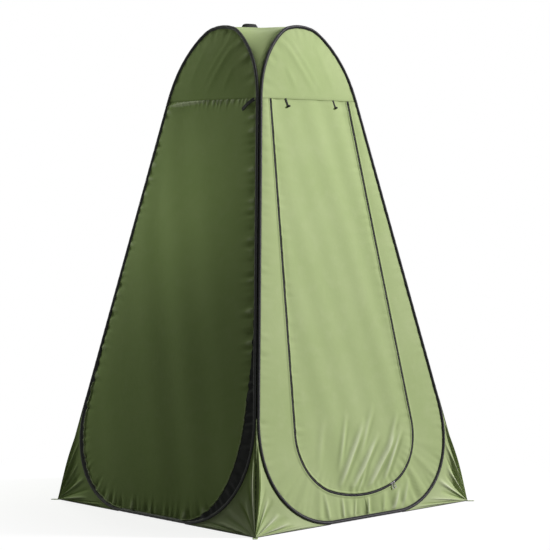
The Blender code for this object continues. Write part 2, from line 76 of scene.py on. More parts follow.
# Walls and hoops, as in the frame
BASE_HALF = -JOINTS["left_fold"]["pos_m"][0]
LEAN = math.atan2(JOINTS["left_fold"]["axis"][0], JOINTS["left_fold"]["axis"][2])
HOOP_HEIGHT = 1.948
SEAM = 1.652
GROUND_RUN = 0.18
BEND_TOP = 0.43
CROWN_RUN = 0.03
CROWN_END = 0.004  # half a hoop's line stops this far from the middle of its level top
GROUND_HANDLE = 0.18
BEND_HANDLE = 0.275
SHOULDER_HANDLE = 0.145
CROWN_HANDLE = 0.085
GAP = 0.0003
CLOTH = 0.0012
WEBBING = 0.0013
SKIN = CLOTH / 2 + GAP
SLEEVE_R = 0.0065
SLEEVE_BACK = SLEEVE_R * math.cos(math.radians(36))
HEM = WEBBING + 2 * GAP
HOOP_FOOT = HEM + SLEEVE_BACK + GAP
EDGE_ANGLE = math.atan(math.sin(LEAN))
DIHEDRAL = math.pi - math.acos(math.sin(LEAN) ** 2)
EDGE_INSET = (SLEEVE_R + GAP / 2) / math.sin(DIHEDRAL / 2)
CLOTH_INSET = 0.0045  # where a wall's cloth ends, inside its sleeve

# Door and zip, as in the frame
DOOR_MARGIN = 0.059
DOOR_TOP_HALF = BASE_HALF - SEAM * math.sin(LEAN) - DOOR_MARGIN
DOOR_FLARE = math.radians(4.9)
DOOR_FOOT = 0.094
SWEEP_R = 0.55
SWEEP_HALF = 0.165
CHAIN_WIDTH = 0.0054
CHAIN_SIDE_GAP = 0.0006
TAPE_WIDTH = 0.018
BAR_HEIGHT = 0.0055  # from the cloth's middle to the bar that a zip pull hangs on

# Sleeves
CROWN_FULL = 0.0036  # how far the sleeve stands out at a hoop's shoulders
CROWN_ROUND = 0.003  # how far it rounds off the ends of the hoop's level top
CROWN_ROUND_AT = 0.046
CROWN_ROUND_WIDTH = 0.02
SLEEVE_LIP = 0.0016
SLEEVE_LIP_HALF = 0.0012
SLEEVE_OPEN = 24  # degrees on each side of the slit that the lips leave from
SLEEVE_FIT = 0.94
SLEEVE_WRINKLE = 0.035
SLEEVE_WRINKLE_LENGTHS = (0.02, 0.05)
SLEEVE_PRESSED = 0.05  # share of its girth that a sleeve loses on the ground
SLEEVE_PRESSED_TO = 0.05

# Wall cloths
WALL_BELLY = 0.012
PILLOW = 0.006  # how far a plain wall's cloth rolls out from its sewn edges
PILLOW_REACH = 0.03
GATHER = 0.0026  # height of the small gathers along the sleeves
GATHER_REACH = 0.013
GATHER_LENGTHS = (0.028, 0.075)
GATHER_BROAD = (0.07, 0.2)
RUFFLE = 0.0078  # height of the ruffle under a plain wall's seam
RUFFLE_REACH = 0.0065
RUFFLE_LENGTHS = (0.016, 0.04)
RUFFLE_CREST = 0.0052  # a ruffle this high gets the full painted highlight
RUFFLE_END = 0.03  # the ruffle dies out over this distance from the sleeve
RUFFLE_RISE = 0.08  # it grows over this distance left of the middle
RUFFLE_FALL = (0.12, 0.04)  # and sinks again from the first, over the second
SLACK = 0.0016
SLACK_LENGTHS = (0.16, 0.45)
SLACK_END = 0.12
SEAM_FOLD_HELD = 0.003
SEAM_ZONE = 0.035  # rows lie closer together this far below the seam
YOKE_BELLY = 0.006
YOKE_CREST = 0.0022
FRONT_GATHER = 0.3
FRONT_YOKE_GATHER = 0.35
SEAM_TURN = 0.004  # how far a yoke is turned in behind the cloth below it
SEAM_TURN_BACK = 0.0016

# Gussets
GUSSET_TUCK = 0.001
GUSSET_TIP = 0.012  # share of a gusset's reach that is left open at its corner
GUSSET_FOLD = 0.006
GUSSET_FOLDS = 3
GUSSET_CREASES = 13
CREASE_WIDTHS = (0.012, 0.028)
CREASE_HEIGHTS = (0.005, 0.0095)
CREASE_CREST = 0.008
GUSSET_HELD = 0.04
GUSSET_HEM_HELD = 0.014
# How far up a gusset the dust and the painted bounce light reach
DUST_AND_LIGHT_TOP = 0.25
HEM_OVERLAP = 0.02
HEM_R = 0.0014
CORNER_CORD_R = 0.0019
CORNER_CORD_FOOT = 0.003
CORNER_CORD_INSET = 0.0008

# Facings inside the lower bends
FACING_WIDTH = 0.04
LEFT_FACING_WIDTHS = {"left": 0.018, "right": 0.054}
FACING_SEAM = 0.002  # how far a facing reaches in under its sleeve
FACING_EDGE = 0.004
FACING_LIFT = 0.0016
FACING_TOP = 0.8  # how far up a wall the bend's facing reaches
FACING_ROLL = 0.0012
FACING_ROLL_LENGTHS = (0.03, 0.08)
PIPING_R = 0.0024
PIPING_TOP = 0.5
PIPING_LIFT = 0.0006

# Front wall and door
SWEEP_START = 0.024  # where the zip's line starts to pair with the hoop's bend
WELT = 0.0019  # the folded edge of the cloth beside the zip
WELT_WIDTH = 0.009
FOOT_SLACK = 0.0022
FOOT_SLACK_LENGTHS = (0.05, 0.16)
FOOT_SLACK_TOP = 0.30
FRONT_BELLY = 0.003
FRONT_HELD = (0.02, 0.01)  # distances from the zip and the sleeve that hold the folds down
FOOT_CREST = 0.008
FOOT_HOLLOW = 0.003
PLEAT_ROWS = 15
PLEAT_ROWS_HALF = 0.0105
PLEAT_CLEAR = 0.012  # plain rows keep this far from a pleat line
PLEAT_CLEAR_LOW = 0.02
SEAM_CLEAR = 0.004
DOOR_STEP = 0.009
DOOR_HELD = 0.03
DOOR_SLACK = 0.0012
DOOR_SLACK_LENGTHS = (0.12, 0.4)
DOOR_GATHER = 0.0009
DOOR_CREST = 0.007
DOOR_SHADE = 0.006
FOLD_SHADE_OFF = (0.022, 0.005)  # from a fold of the door to the shade beside it

# Roof
ROOF_INSET = 0.004
ROOF_SLACK = 0.0025
ROOF_SLACK_LENGTHS = (0.08, 0.3)

# Zip
TAPE_EDGE = 0.0022  # how much zip tape shows beside the chain
FAR_FROM_ZIP = 1.0
TAPE_COLUMNS = 7
TAPE_BEHIND = 0.0004
TOOTH_PITCH = 0.0026
TOOTH_HALF_LENGTH = 0.0011
TOOTH_HALF_WIDTH = 0.0020
TOOTH_OFF = 0.0006
TOOTH_LEVELS = ((1.0, -SKIN), (0.9, 0.0010), (0.55, 0.0017))  # share of the tooth's size, height
SLIDER_LENGTH = 0.013
SLIDER_WIDTH = 0.0092
SLIDER_THICKNESS = 0.0024
SLIDER_LIFT = 0.0026
BAIL_LENGTH = 0.0084
BAIL_R = 0.00065
BAIL_FOOT = 0.0028
PULL_LENGTH = 0.024
PULL_WIDTH = 0.0046
PULL_THICKNESS = 0.0011
PULL_START = 0.0010
PULL_EYE_R = 0.0017
PULL_EYE_HALF_WIDTH = 0.0015
PULL_EYE_THICKNESS = 0.0008

# Webbing, placed as in the frame
TIE_AT = 0.131
TIE_SLANT = math.radians(16)
TIE_LENGTH = 0.034
TIE_WIDTH = 0.009
TIE_SEWN = 0.002
TIE_THICKNESS = 0.0010
TOGGLE_R = 0.0032
TOGGLE_SHOWN = 0.0096
TOGGLE_FIT = 0.97
STRAP_DROP = 0.004
STRAP_CLEAR = 0.0006
STRAP_SLANT = math.radians(-54)
STRAP_LENGTH = 0.073
STRAP_WIDTH = 0.016
STRAP_THICKNESS = 0.0022
STRAP_ROOT = 0.0012
STRAP_BOW = 0.0065
STRAP_RISE = 0.0055
STRAP_SHORT = 0.0022
ROOF_LOOP_AT = (-0.035, 0.035)
ROOF_LOOP_LENGTH = 0.07
ROOF_LOOP_RISE = 0.022
ROOF_LOOP_LEAN = math.radians(62)  # the loop flops over towards the front
ROOF_LOOP_WIDTH = 0.024
ROOF_LOOP_THICKNESS = 0.0034
ROOF_LOOP_LIFT = 0.0012
ROOF_LOOP_FEET = (0.012, 0.001)
PEG_LOOP_LENGTH = 0.046
PEG_LOOP_WIDTH = 0.02
PEG_LOOP_EYE = 0.011
PEG_LOOP_UNDER = 0.018
PEG_LOOP_TUCK = 0.006  # how far the sewn end runs in under the corner

# A peg loop's section from its eye over the top and back underneath: share of reach, of thickness
PEG_LOOP_SECTION = (
    (0, 0.3), (0.02, 0.85), (0.12, 1.0), (0.4, 0.9), (0.7, 0.95),
    (0.95, 0.85), (1.0, 0.5), (0.98, 0.12), (0.5, 0.05), (0.05, 0.05),
)

# Folds that the light picks out: start, end, half width, height
DOOR_FOLDS = (
    ((-0.150, 0.110), (0.060, 0.385), 0.0140, 0.0095),
    ((-0.085, 0.098), (0.130, 0.325), 0.0130, 0.0100),
    ((0.000, 0.092), (0.235, 0.325), 0.0140, 0.0105),
    ((0.100, 0.110), (0.262, 0.335), 0.0115, 0.0085),
    ((-0.125, 0.190), (-0.035, 0.420), 0.0110, 0.0052),
    ((-0.010, 0.220), (0.120, 0.440), 0.0130, 0.0048),
    ((-0.045, 0.090), (0.040, 0.210), 0.0080, 0.0055),
    ((0.150, 0.230), (0.250, 0.400), 0.0120, 0.0045),
    ((-0.230, 0.200), (-0.160, 0.420), 0.0180, 0.0026),
)
FOOT_FOLDS = (
    ((0.215, 0.115), (0.110, -0.035), 0.010, 0.0085),
    ((-0.120, 0.110), (-0.130, -0.015), 0.007, 0.0070),
    ((0.028, 0.105), (-0.012, -0.030), 0.008, 0.0070),
    ((0.265, 0.135), (0.185, -0.010), 0.009, 0.0060),
    ((-0.045, 0.100), (-0.075, -0.020), 0.006, 0.0050),
    ((-0.215, 0.140), (-0.200, -0.010), 0.008, 0.0050),
    ((0.120, 0.100), (0.075, -0.020), 0.006, 0.0040),
)
YOKE_FOLDS = (
    ((-0.125, 1.925), (0.050, 1.655), 0.012, 0.0022),
    ((-0.085, 1.930), (0.085, 1.665), 0.010, 0.0013),
    ((-0.110, 1.790), (-0.060, 1.680), 0.009, 0.0018),
    ((0.060, 1.900), (0.150, 1.680), 0.014, 0.0010),
)
SEAM_FOLD = ((-0.300, 1.628), (0.010, 1.652), 0.0075, 0.0085)

# Fineness
CURVE_POINTS = 160
CLOTH_STEP = 0.007
FOLD_STEP = 0.004  # where the cloth is creased
SEAM_STEP = 0.0016
SLEEVE_STEP = 0.008
FACING_STEP = 0.006
CROWN_STEP = 0.004
EDGE_STEP = 0.002
WALL_COLUMNS = 180
YOKE_COLUMNS = 64
GUSSET_COLUMNS = 200
GUSSET_ROWS = 36
FACING_COLUMNS = 9
RIBBON_ROWS = 32
DOOR_COLUMNS = 150
ROOF_CELLS = 64
HEM_POINTS = 60
CORNER_CORD_POINTS = 40
STRAP_POINTS = 40
TOGGLE_POINTS = 33
SLIDER_POINTS = 29
BAIL_POINTS = 25
PULL_POINTS = 41
EYE_POINTS = 28
PEG_LOOP_POINTS = 72

# Seeds of the uneven waves, one stretch of numbers for each kind of cloth
YOKE_SEED = 300
GUSSET_SEED = 500
SLEEVE_SEED = 700
FRONT_SEED = 800
DOOR_SEED = 900
ROOF_SEED = 950

# Colours, linear
SAGE = (0.352, 0.448, 0.190, 1)
SAGE_DEEP = (0.325, 0.424, 0.168, 1)
SAGE_PALE = (0.415, 0.500, 0.245, 1)
# Pale tone of the painted highlights on crests, and of the piping, whose paleness is a painted
# highlight too
PALE_HIGHLIGHT = (0.640, 0.690, 0.500, 1)
OLIVE = (0.055, 0.075, 0.028, 1)
FOLD_SHADE = (0.150, 0.200, 0.065, 1)
EDGE_SHADE = (0.10, 0.13, 0.05, 1)
BLACK = (0.006, 0.007, 0.006, 1)
CHARCOAL = (0.015, 0.017, 0.014, 1)
STEEL = (0.36, 0.36, 0.35, 1)
STEEL_WORN = (0.4, 0.4, 0.41, 1)
GUNMETAL = (0.085, 0.088, 0.080, 1)
GUNMETAL_WORN = (0.20, 0.20, 0.19, 1)
WHITE = (1, 1, 1, 1)
FLOOR_PALE = (0.26, 0.26, 0.26, 1)
FLOOR_DULL = (0.10, 0.11, 0.08, 1)
LEAF_LIGHT = (0.90, 1.0, 0.74)
WHITE_LIGHT = (1, 1, 1)
SUN_LIGHT = (0.99, 0.92, 1.05)

# Finishes
GRAIN_SCALE = 700.0
CLOUD_SCALE = 3.2
CRUMPLE_SCALE = 17.0
CRINKLE_SCALE = 75.0
STITCH_PITCH = 0.0052
STITCH_INSET = 0.0125  # from a sewn edge to the row of stitches beside it
STITCH_HALF = 0.0004
EDGE_SHADE_REACH = 0.012
# Painted shade along a sewn edge: full up to the first distance, gone past the second
SEAM_SHADE_SPAN = (0.0004, 0.0020)
TAPE_BLUR = 0.0002
TAPE_RIB = 0.0016
TAPE_WEAR_SCALE = 55.0
TAPE_FUZZ_SCALE = 140.0
WEBBING_RIB = 0.0022
WEBBING_WEAVE = 0.0015
WEBBING_WEAR_SCALE = 90.0
BUMP_DEPTH = 0.001
SCRATCH_DEPTH = 0.0002

# Floor, light and camera
FLOOR_HALF = 30.0
FLOOR_DROP = 0.0006
FLOOR_FADE = (0.75, 1.6)  # the floor turns to plain white between these distances
FLOOR_GLOW = 0.84
SKY_STRENGTH = 0.055
SUN_ENERGY = 4.3
SUN_ANGLE = math.radians(9)
CAMERA_AZIMUTH = math.radians(-43.3)
CAMERA_DISTANCE = 7.72
CAMERA_HEIGHT = 1.29
CAMERA_AIM_RIGHT = math.radians(0.39)
CAMERA_TILT = math.radians(-2.74)
CAMERA_LENS = 124.56
CAMERA_SENSOR = 36.0


class Value:
    """A number, colour or shader that a node gives. Arithmetic on it adds Math nodes."""

    def __init__(self, work, socket):
        self.work = work
        self.socket = socket

    def maths(self, operation, first, second=0.0):
        return self.work.node("ShaderNodeMath", {"operation": operation}, {0: first, 1: second})

    def __add__(self, other):
        return self.maths("ADD", self, other)

    def __radd__(self, other):
        return self.maths("ADD", other, self)

    def __sub__(self, other):
        return self.maths("SUBTRACT", self, other)

    def __rsub__(self, other):
        return self.maths("SUBTRACT", other, self)

    def __mul__(self, other):
        return self.maths("MULTIPLY", self, other)

    def __rmul__(self, other):
        return self.maths("MULTIPLY", other, self)

    def sine(self):
        return self.maths("SINE", self)

    def rise(self, low, high):
        """0 below low and 1 above high, smooth between them."""
        sockets = {"Value": self, "From Min": low, "From Max": high}
        return self.work.node("ShaderNodeMapRange", {"interpolation_type": "SMOOTHSTEP"}, sockets)

    def band(self, middle, half, soft):
        """1 within half of the middle, falling to 0 over soft."""
        low = self.rise(middle - half - soft, middle - half)
        return low - self.rise(middle + half, middle + half + soft)

    def ripple(self, pitch):
        """A wave along the value, between -1 and 1."""
        return (self * (2 * math.pi / pitch)).sine()


class NodeWork:
    """The nodes of a finish or of the sky."""

    def __init__(self, owner):
        owner.use_nodes = True
        self.tree = owner.node_tree

    def feed(self, socket, value):
        if isinstance(value, Value):
            self.tree.links.new(value.socket, socket)
        else:
            socket.default_value = value

    def node(self, kind, settings, sockets, output=0):
        made = self.tree.nodes.new(kind)
        for name, value in settings.items():
            setattr(made, name, value)
        for name, value in sockets.items():
            self.feed(made.inputs[name], value)
        return Value(self, made.outputs[output])

    def seen(self):
        """1 for rays that look straight at something, or by way of a mirror or glass."""
        kinds = ("Camera", "Glossy", "Transmission")
        rays = [self.node("ShaderNodeLightPath", {}, {}, f"Is {kind} Ray") for kind in kinds]
        return rays[0] + rays[1] + rays[2]

    def show(self, first, output, shader):
        """Shows a shader in place of the one that the nodes started with."""
        self.tree.nodes.remove(self.tree.nodes[first])
        self.feed(self.tree.nodes[output].inputs["Surface"], shader)


class Finish(NodeWork):
    """A material made of nodes that end in one Principled shader."""

    def __init__(self, name):
        self.material = bpy.data.materials.new(name)
        super().__init__(self.material)
        self.shader = self.tree.nodes["Principled BSDF"]

    def shade(self, **sockets):
        for name, value in sockets.items():
            self.feed(self.shader.inputs[name.replace("_", " ")], value)

    def attribute(self, name):
        """A vector that is stored on the mesh, and its three numbers."""
        vector = self.node("ShaderNodeAttribute", {"attribute_name": name}, {}, "Vector")
        sockets = {"Vector": vector}
        return vector, [self.node("ShaderNodeSeparateXYZ", {}, sockets, axis) for axis in range(3)]

    def noise(self, place, scale, detail, roughness=0.55):
        sockets = {"Vector": place, "Scale": scale, "Detail": detail, "Roughness": roughness}
        return self.node("ShaderNodeTexNoise", {}, sockets)

    def mix(self, share, first, second):
        sockets = {0: share, 6: first, 7: second}
        return self.node("ShaderNodeMix", {"data_type": "RGBA"}, sockets, 2)

    def bump(self, height, distance, strength):
        sockets = {"Height": height, "Distance": distance, "Strength": strength}
        self.shade(Normal=self.node("ShaderNodeBump", {}, sockets))


def taffeta(name, deep, middle, pale):
    """Coated taffeta: fine grain, soft crumple and stitch line, with painted shade beside and along its
    sewn edges, painted highlights on its crests and painted shade in its hollows.
    """
    finish = Finish(name)
    _, (across, up, light_and_shade) = finish.attribute("cut")
    _, (gap, run, zip_gap) = finish.attribute("sewn")
    place = finish.node("ShaderNodeCombineXYZ", {}, {"X": across, "Y": up})
    grain = finish.noise(place, GRAIN_SCALE, 2.0)
    cloud = finish.noise(place, CLOUD_SCALE, 2.0)
    crumple = finish.noise(place, CRUMPLE_SCALE, 3.0)
    crinkle = finish.noise(place, CRINKLE_SCALE, 2.0)
    dash = run.ripple(STITCH_PITCH).rise(-0.35, 0.1)
    stitch = gap.band(STITCH_INSET, STITCH_HALF, STITCH_HALF) * dash
    edge_shade = 1 - gap.rise(0.0, EDGE_SHADE_REACH)
    seam_shade = 1 - gap.rise(*SEAM_SHADE_SPAN)
    tape = 1 - zip_gap.rise(TAPE_EDGE - TAPE_BLUR, TAPE_EDGE + TAPE_BLUR)
    colour = finish.mix(cloud.rise(0.3, 0.7), deep, middle)
    colour = finish.mix((crumple - 0.5).rise(-0.1, 0.4) * 0.4, colour, pale)
    colour = finish.mix(stitch * 0.45, colour, deep)
    colour = finish.mix(edge_shade * 0.18, colour, EDGE_SHADE)
    # Painted shade: a thin dark line along each sewn edge, which also darkens the slit under a
    # turned-in seam
    colour = finish.mix(seam_shade * 0.8, colour, FOLD_SHADE)
    # Painted highlight on the crests and painted shade in the hollows, as each cloth's shape sets them
    colour = finish.mix(light_and_shade.rise(0.0, 1.0) * 0.85, colour, PALE_HIGHLIGHT)
    colour = finish.mix((0 - light_and_shade).rise(0.0, 1.0) * 0.6, colour, FOLD_SHADE)
    colour = finish.mix(tape, colour, BLACK)
    finish.shade(Base_Color=colour, Roughness=0.60 + crumple * 0.14 + grain * 0.06)
    finish.shade(Specular_IOR_Level=0.1, Sheen_Weight=0.10, Sheen_Roughness=0.45)
    height = crumple * 0.9 + crinkle * 0.12 + grain * 0.02 - stitch * 0.25
    finish.bump(height, BUMP_DEPTH, 0.7)
    return finish.material


def binding_tape(name, gloss, shine):
    """Black woven tape with fine cross ribs and worn, greyer high spots."""
    finish = Finish(name)
    cut, (along, _, _) = finish.attribute("cut")
    ribs = along.ripple(TAPE_RIB)
    wear = finish.noise(cut, TAPE_WEAR_SCALE, 4.0)
    fuzz = finish.noise(cut, TAPE_FUZZ_SCALE, 2.0)
    colour = finish.mix(wear.rise(0.45, 0.8), BLACK, CHARCOAL)
    finish.shade(Base_Color=colour, Roughness=gloss + wear * 0.18, Specular_IOR_Level=shine)
    finish.bump(ribs * 0.06 + fuzz * 0.35, BUMP_DEPTH, 0.8)
    return finish.material


def ribbed_webbing(name, dark, pale):
    """Webbing with ribs along it and a weave across."""
    finish = Finish(name)
    cut, (across, along, _) = finish.attribute("cut")
    ribs = across.ripple(WEBBING_RIB)
    weave = along.ripple(WEBBING_WEAVE) * ribs
    wear = finish.noise(cut, WEBBING_WEAR_SCALE, 3.0)
    colour = finish.mix(wear.rise(0.4, 0.8), dark, pale)
    finish.shade(Base_Color=colour, Roughness=0.62 + wear * 0.2, Specular_IOR_Level=0.2)
    finish.bump(ribs * 0.18 + weave * 0.1, BUMP_DEPTH, 0.9)
    return finish.material


def plain_solid(name, colour, worn, metallic, roughness, grain):
    """A hard finish with faint mottling and fine scratches."""
    finish = Finish(name)
    place = finish.node("ShaderNodeTexCoord", {}, {}, "Object")
    mottle = finish.noise(place, grain, 4.0)
    scratches = finish.noise(place, grain * 6, 2.0)
    mixed = finish.mix(mottle.rise(0.35, 0.75), colour, worn)
    finish.shade(Base_Color=mixed, Roughness=roughness + mottle * 0.15, Metallic=metallic)
    finish.bump(scratches, SCRATCH_DEPTH, 0.5)
    return finish.material


def make_finishes():
    return {
        "wall": taffeta("sage_taffeta", SAGE_DEEP, SAGE, SAGE_PALE),
        "binding": binding_tape("black_binding_tape", 0.34, 0.16),
        "facing": binding_tape("black_satin_facing", 0.34, 0.07),
        "zip_tape": binding_tape("black_zip_tape", 0.55, 0.15),
        "webbing": ribbed_webbing("black_webbing", BLACK, CHARCOAL),
        "peg_webbing": ribbed_webbing("sage_webbing", SAGE_DEEP, SAGE_PALE),
        # The piping's pale tone is a painted highlight of the lit rolled edge of the wall's cloth
        "piping": ribbed_webbing("painted_highlight_piping", SAGE_PALE, PALE_HIGHLIGHT),
        "seam_cord": ribbed_webbing("olive_seam_cord", OLIVE, SAGE_DEEP),
        "coil": plain_solid("black_zip_coil", BLACK, CHARCOAL, 0.0, 0.35, 400.0),
        "metal": plain_solid("dark_zip_metal", GUNMETAL, GUNMETAL_WORN, 0.75, 0.36, 500.0),
        "wire": plain_solid("drawn_spring_steel", STEEL, STEEL_WORN, 1.0, 0.3, 300.0),
        "toggle": plain_solid("black_toggle_plastic", BLACK, CHARCOAL, 0.0, 0.32, 300.0),
    }


def wall_frame(turn):
    """A wall's frame, a quarter turn about Z for each step from the front."""
    return (
        Matrix.Rotation(turn * math.pi / 2, 4, "Z")
        @ Matrix.Translation((0, -BASE_HALF, 0))
        @ Matrix.Rotation(math.pi / 2 - LEAN, 4, "X")
    )


def in_world(matrix, points):
    placed = np.array(matrix)
    return points @ placed[:3, :3].T + placed[:3, 3]


def axis_of(matrix, axis):
    return np.array(matrix.to_3x3().col[axis])


def clamp(share):
    return np.clip(share, 0, 1)


def unit(vectors):
    return vectors / np.linalg.norm(vectors, axis=1)[:, None]


def left_of(way):
    """Directions a quarter turn to the left of these, in the wall's plane."""
    return np.stack([-way[:, 1], way[:, 0]], 1)


def bezier(ends, share):
    """Points and directions along a curve with four ends and handles."""
    p0, p1, p2, p3 = np.array(ends, float)
    t = share[:, None]
    s = 1 - t
    point = s**3 * p0 + 3 * s * s * t * p1 + 3 * s * t * t * p2 + t**3 * p3
    slope = s * s * (p1 - p0) + 2 * s * t * (p2 - p1) + t * t * (p3 - p2)
    return point, unit(slope)


def run_along(points):
    """How far along its line each point lies."""
    steps = np.linalg.norm(np.diff(points, axis=0), axis=1)
    return np.concatenate([[0.0], np.cumsum(steps)])


def even(points, spacing):
    """A line's points again, evenly spaced."""
    run = run_along(points)
    at = np.linspace(0, run[-1], max(2, round(run[-1] / spacing)) + 1)
    return np.stack([np.interp(at, run, points[:, axis]) for axis in range(points.shape[1])], 1)


def corner_u(v):
    return BASE_HALF - v * math.sin(LEAN)


def hoop_side(v):
    """Where the straight side of a hoop's right half is at a height."""
    return (corner_u(v) - EDGE_INSET / math.cos(EDGE_ANGLE), v)


def hoop_curves():
    """The curves of a hoop's right half: lower bend, straight side, crown, level top."""
    bend = (
        (GROUND_RUN, HOOP_FOOT),
        (GROUND_RUN + GROUND_HANDLE, HOOP_FOOT),
        hoop_side(BEND_TOP - BEND_HANDLE),
        hoop_side(BEND_TOP),
    )
    edge = [hoop_side(BEND_TOP + (SEAM - BEND_TOP) * third / 3) for third in range(4)]
    crown = (
        hoop_side(SEAM),
        hoop_side(SEAM + SHOULDER_HANDLE),
        (CROWN_RUN + CROWN_HANDLE, HOOP_HEIGHT),
        (CROWN_RUN, HOOP_HEIGHT),
    )
    level = [(CROWN_RUN - (CROWN_RUN - CROWN_END) * third / 3, HOOP_HEIGHT) for third in range(4)]
    return bend, edge, crown, level


def hoop_line(curves, inset):
    """Points along some of a hoop's curves, moved in by inset."""
    share = np.linspace(0, 1, CURVE_POINTS)
    stretches = []
    for ends in curves:
        point, way = bezier(ends, share)
        up = clamp((point[:, 1] - SEAM) / (HOOP_HEIGHT - SEAM))
        from_round = (point[:, 0] - CROWN_ROUND_AT) / CROWN_ROUND_WIDTH
        out = CROWN_FULL * np.sin(np.pi * up) ** 2
        out -= CROWN_ROUND * np.exp(-(from_round**2)) * (up > 0.8)
        stretches.append(point + (inset - out)[:, None] * left_of(way))
    return np.concatenate(stretches)


def both_sides(half):
    """A right half from bottom to top as a whole line, from the top left round to the top right."""
    return np.concatenate([half[::-1] * (-1, 1), half])


def closed_hoop(inset):
    """A hoop's whole line, once round from the middle of the ground."""
    half = hoop_line(hoop_curves(), inset)
    start = np.array([[0.0, half[0, 1]]])
    return np.concatenate([start, half, half[::-1] * (-1, 1), start])


def door_half(outset):
    """The right half of the zip's line from the bottom to the seam, moved out by outset."""
    turn = math.asin(SWEEP_HALF / SWEEP_R)
    out = np.array([math.cos(DOOR_FLARE), math.sin(DOOR_FLARE)])
    way = np.array([math.sin(turn), -math.cos(turn)])
    middle = np.array([0.0, DOOR_FOOT + SWEEP_R])
    reach = out @ (np.array([DOOR_TOP_HALF, SEAM]) - middle)
    radius = (reach - SWEEP_R * (out @ way)) / (1 - out @ way)
    corner = middle + (SWEEP_R - radius) * way

    def arc(centre, size, angles):
        return centre + (size + outset) * np.stack([np.sin(angles), -np.cos(angles)], 1)

    sweep_line = arc(middle, SWEEP_R, np.linspace(0, turn, CURVE_POINTS))
    bend = arc(corner, radius, np.linspace(turn, math.pi / 2 + DOOR_FLARE, CURVE_POINTS))
    v = np.linspace(bend[-1, 1], SEAM, CURVE_POINTS)
    side = DOOR_TOP_HALF + (SEAM - v) * math.tan(DOOR_FLARE) + outset / math.cos(DOOR_FLARE)
    return np.concatenate([sweep_line, bend, np.stack([side, v], 1)])


class SewnEdge:
    """A sewn line, which tells how far off and how far along it a point lies."""

    def __init__(self, line):
        self.line = even(line, EDGE_STEP)
        self.run = run_along(self.line)
        self.tree = KDTree(len(self.line))
        for index, (u, v) in enumerate(self.line):
            self.tree.insert((u, v, 0), index)
        self.tree.balance()

    def near(self, u, v):
        found = [self.tree.find((x, y, 0)) for x, y in zip(u.ravel(), v.ravel())]
        gap = np.array([distance for _, _, distance in found]).reshape(u.shape)
        run = np.array([self.run[index] for _, index, _ in found]).reshape(u.shape)
        return gap, run


def nearer_seam(gap, run, seam_gap, u):
    """How far off and how far along the nearer of a sleeve and the seam each point lies."""
    nearer = seam_gap < gap
    return np.where(nearer, seam_gap, gap), np.where(nearer, u, run)


def uneven_wave(along, seed, lengths, count=5):
    """A wave of uneven length and height along an edge."""
    draw = np.random.default_rng(seed)
    total = np.zeros_like(along)
    for length in draw.uniform(*lengths, count):
        total += np.sin(2 * np.pi * along / length + draw.uniform(0, 2 * np.pi))
    return total / math.sqrt(count)


def hump(gap, reach):
    """0 at an edge, 1 at reach from it and fading beyond."""
    return gap / reach * np.exp(1 - gap / reach)


def ridge(u, v, fold):
    """A soft fold along a line, fading out at both ends."""
    start, end, width, height = fold
    line = np.array(end) - start
    length = np.linalg.norm(line)
    along = ((u - start[0]) * line[0] + (v - start[1]) * line[1]) / length**2
    off = ((u - start[0]) * line[1] - (v - start[1]) * line[0]) / length
    return height * np.sin(np.pi * clamp(along)) * np.exp(-((off / width) ** 2))


def ridges(u, v, folds):
    return sum(ridge(u, v, fold) for fold in folds)


def gathers(gap, run, seed, height):
    """Small gathers that stand out beside a sewn edge and fade away from it."""
    fade = hump(gap, GATHER_REACH)
    broad = np.exp(-gap / (4 * GATHER_REACH)) * clamp(fade)
    wave = uneven_wave(run, seed, GATHER_LENGTHS)
    return height * (0.75 * wave * fade + 0.6 * uneven_wave(run, seed + 1, GATHER_BROAD) * broad)


def rounded_end(share, start, span):
    """1 up to start, then falling along a quarter round that is span long."""
    return np.sqrt(1 - (np.clip(share - start, 0, span) / span) ** 2)


def piece_of(name, mesh, finish):
    made = bpy.data.objects.new(name, mesh)
    bpy.context.scene.collection.objects.link(made)
    mesh.materials.append(finish)
    mesh.shade_smooth()
    return made


def settle(piece, body, slot, *nodes):
    """Hides the nodes that a piece stands for and hangs it on the body that it moves with. The slot is
    not used.
    """
    if nodes:
        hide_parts(*nodes)
    if body:
        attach(piece, body)


def grid_mesh(name, points, across_closed=False, along_closed=False, capped=False):
    """A mesh with a point at each place of a grid of rows and columns."""
    rows, columns = points.shape[:2]
    index = np.arange(rows * columns).reshape(rows, columns)
    caps = [index[0, ::-1].tolist(), index[-1].tolist()] if capped else []
    if along_closed:
        index = np.concatenate([index, index[:1]])
    if across_closed:
        index = np.concatenate([index, index[:, :1]], 1)
    corners = index[:-1, :-1], index[:-1, 1:], index[1:, 1:], index[1:, :-1]
    faces = np.stack(corners, -1).reshape(-1, 4).tolist() + caps
    mesh = bpy.data.meshes.new(name)
    mesh.from_pydata(points.reshape(-1, 3).tolist(), [], faces)
    if across_closed:
        face_outwards(mesh)
    return mesh


def face_outwards(mesh):
    """Turns the faces of a closed mesh outwards."""
    work = bmesh.new()
    work.from_mesh(mesh)
    bmesh.ops.recalc_face_normals(work, faces=work.faces)
    work.to_mesh(mesh)
    work.free()


def store(mesh, name, *columns):
    """Keeps a vector for each of a mesh's points, for its finish to read."""
    vectors = np.zeros((len(mesh.vertices), 3), np.float32)
    for axis, numbers in enumerate(columns):
        vectors[:, axis] = np.ravel(numbers)
    held = mesh.attributes.new(name, "FLOAT_VECTOR", "POINT")
    held.data.foreach_set("vector", vectors.ravel())


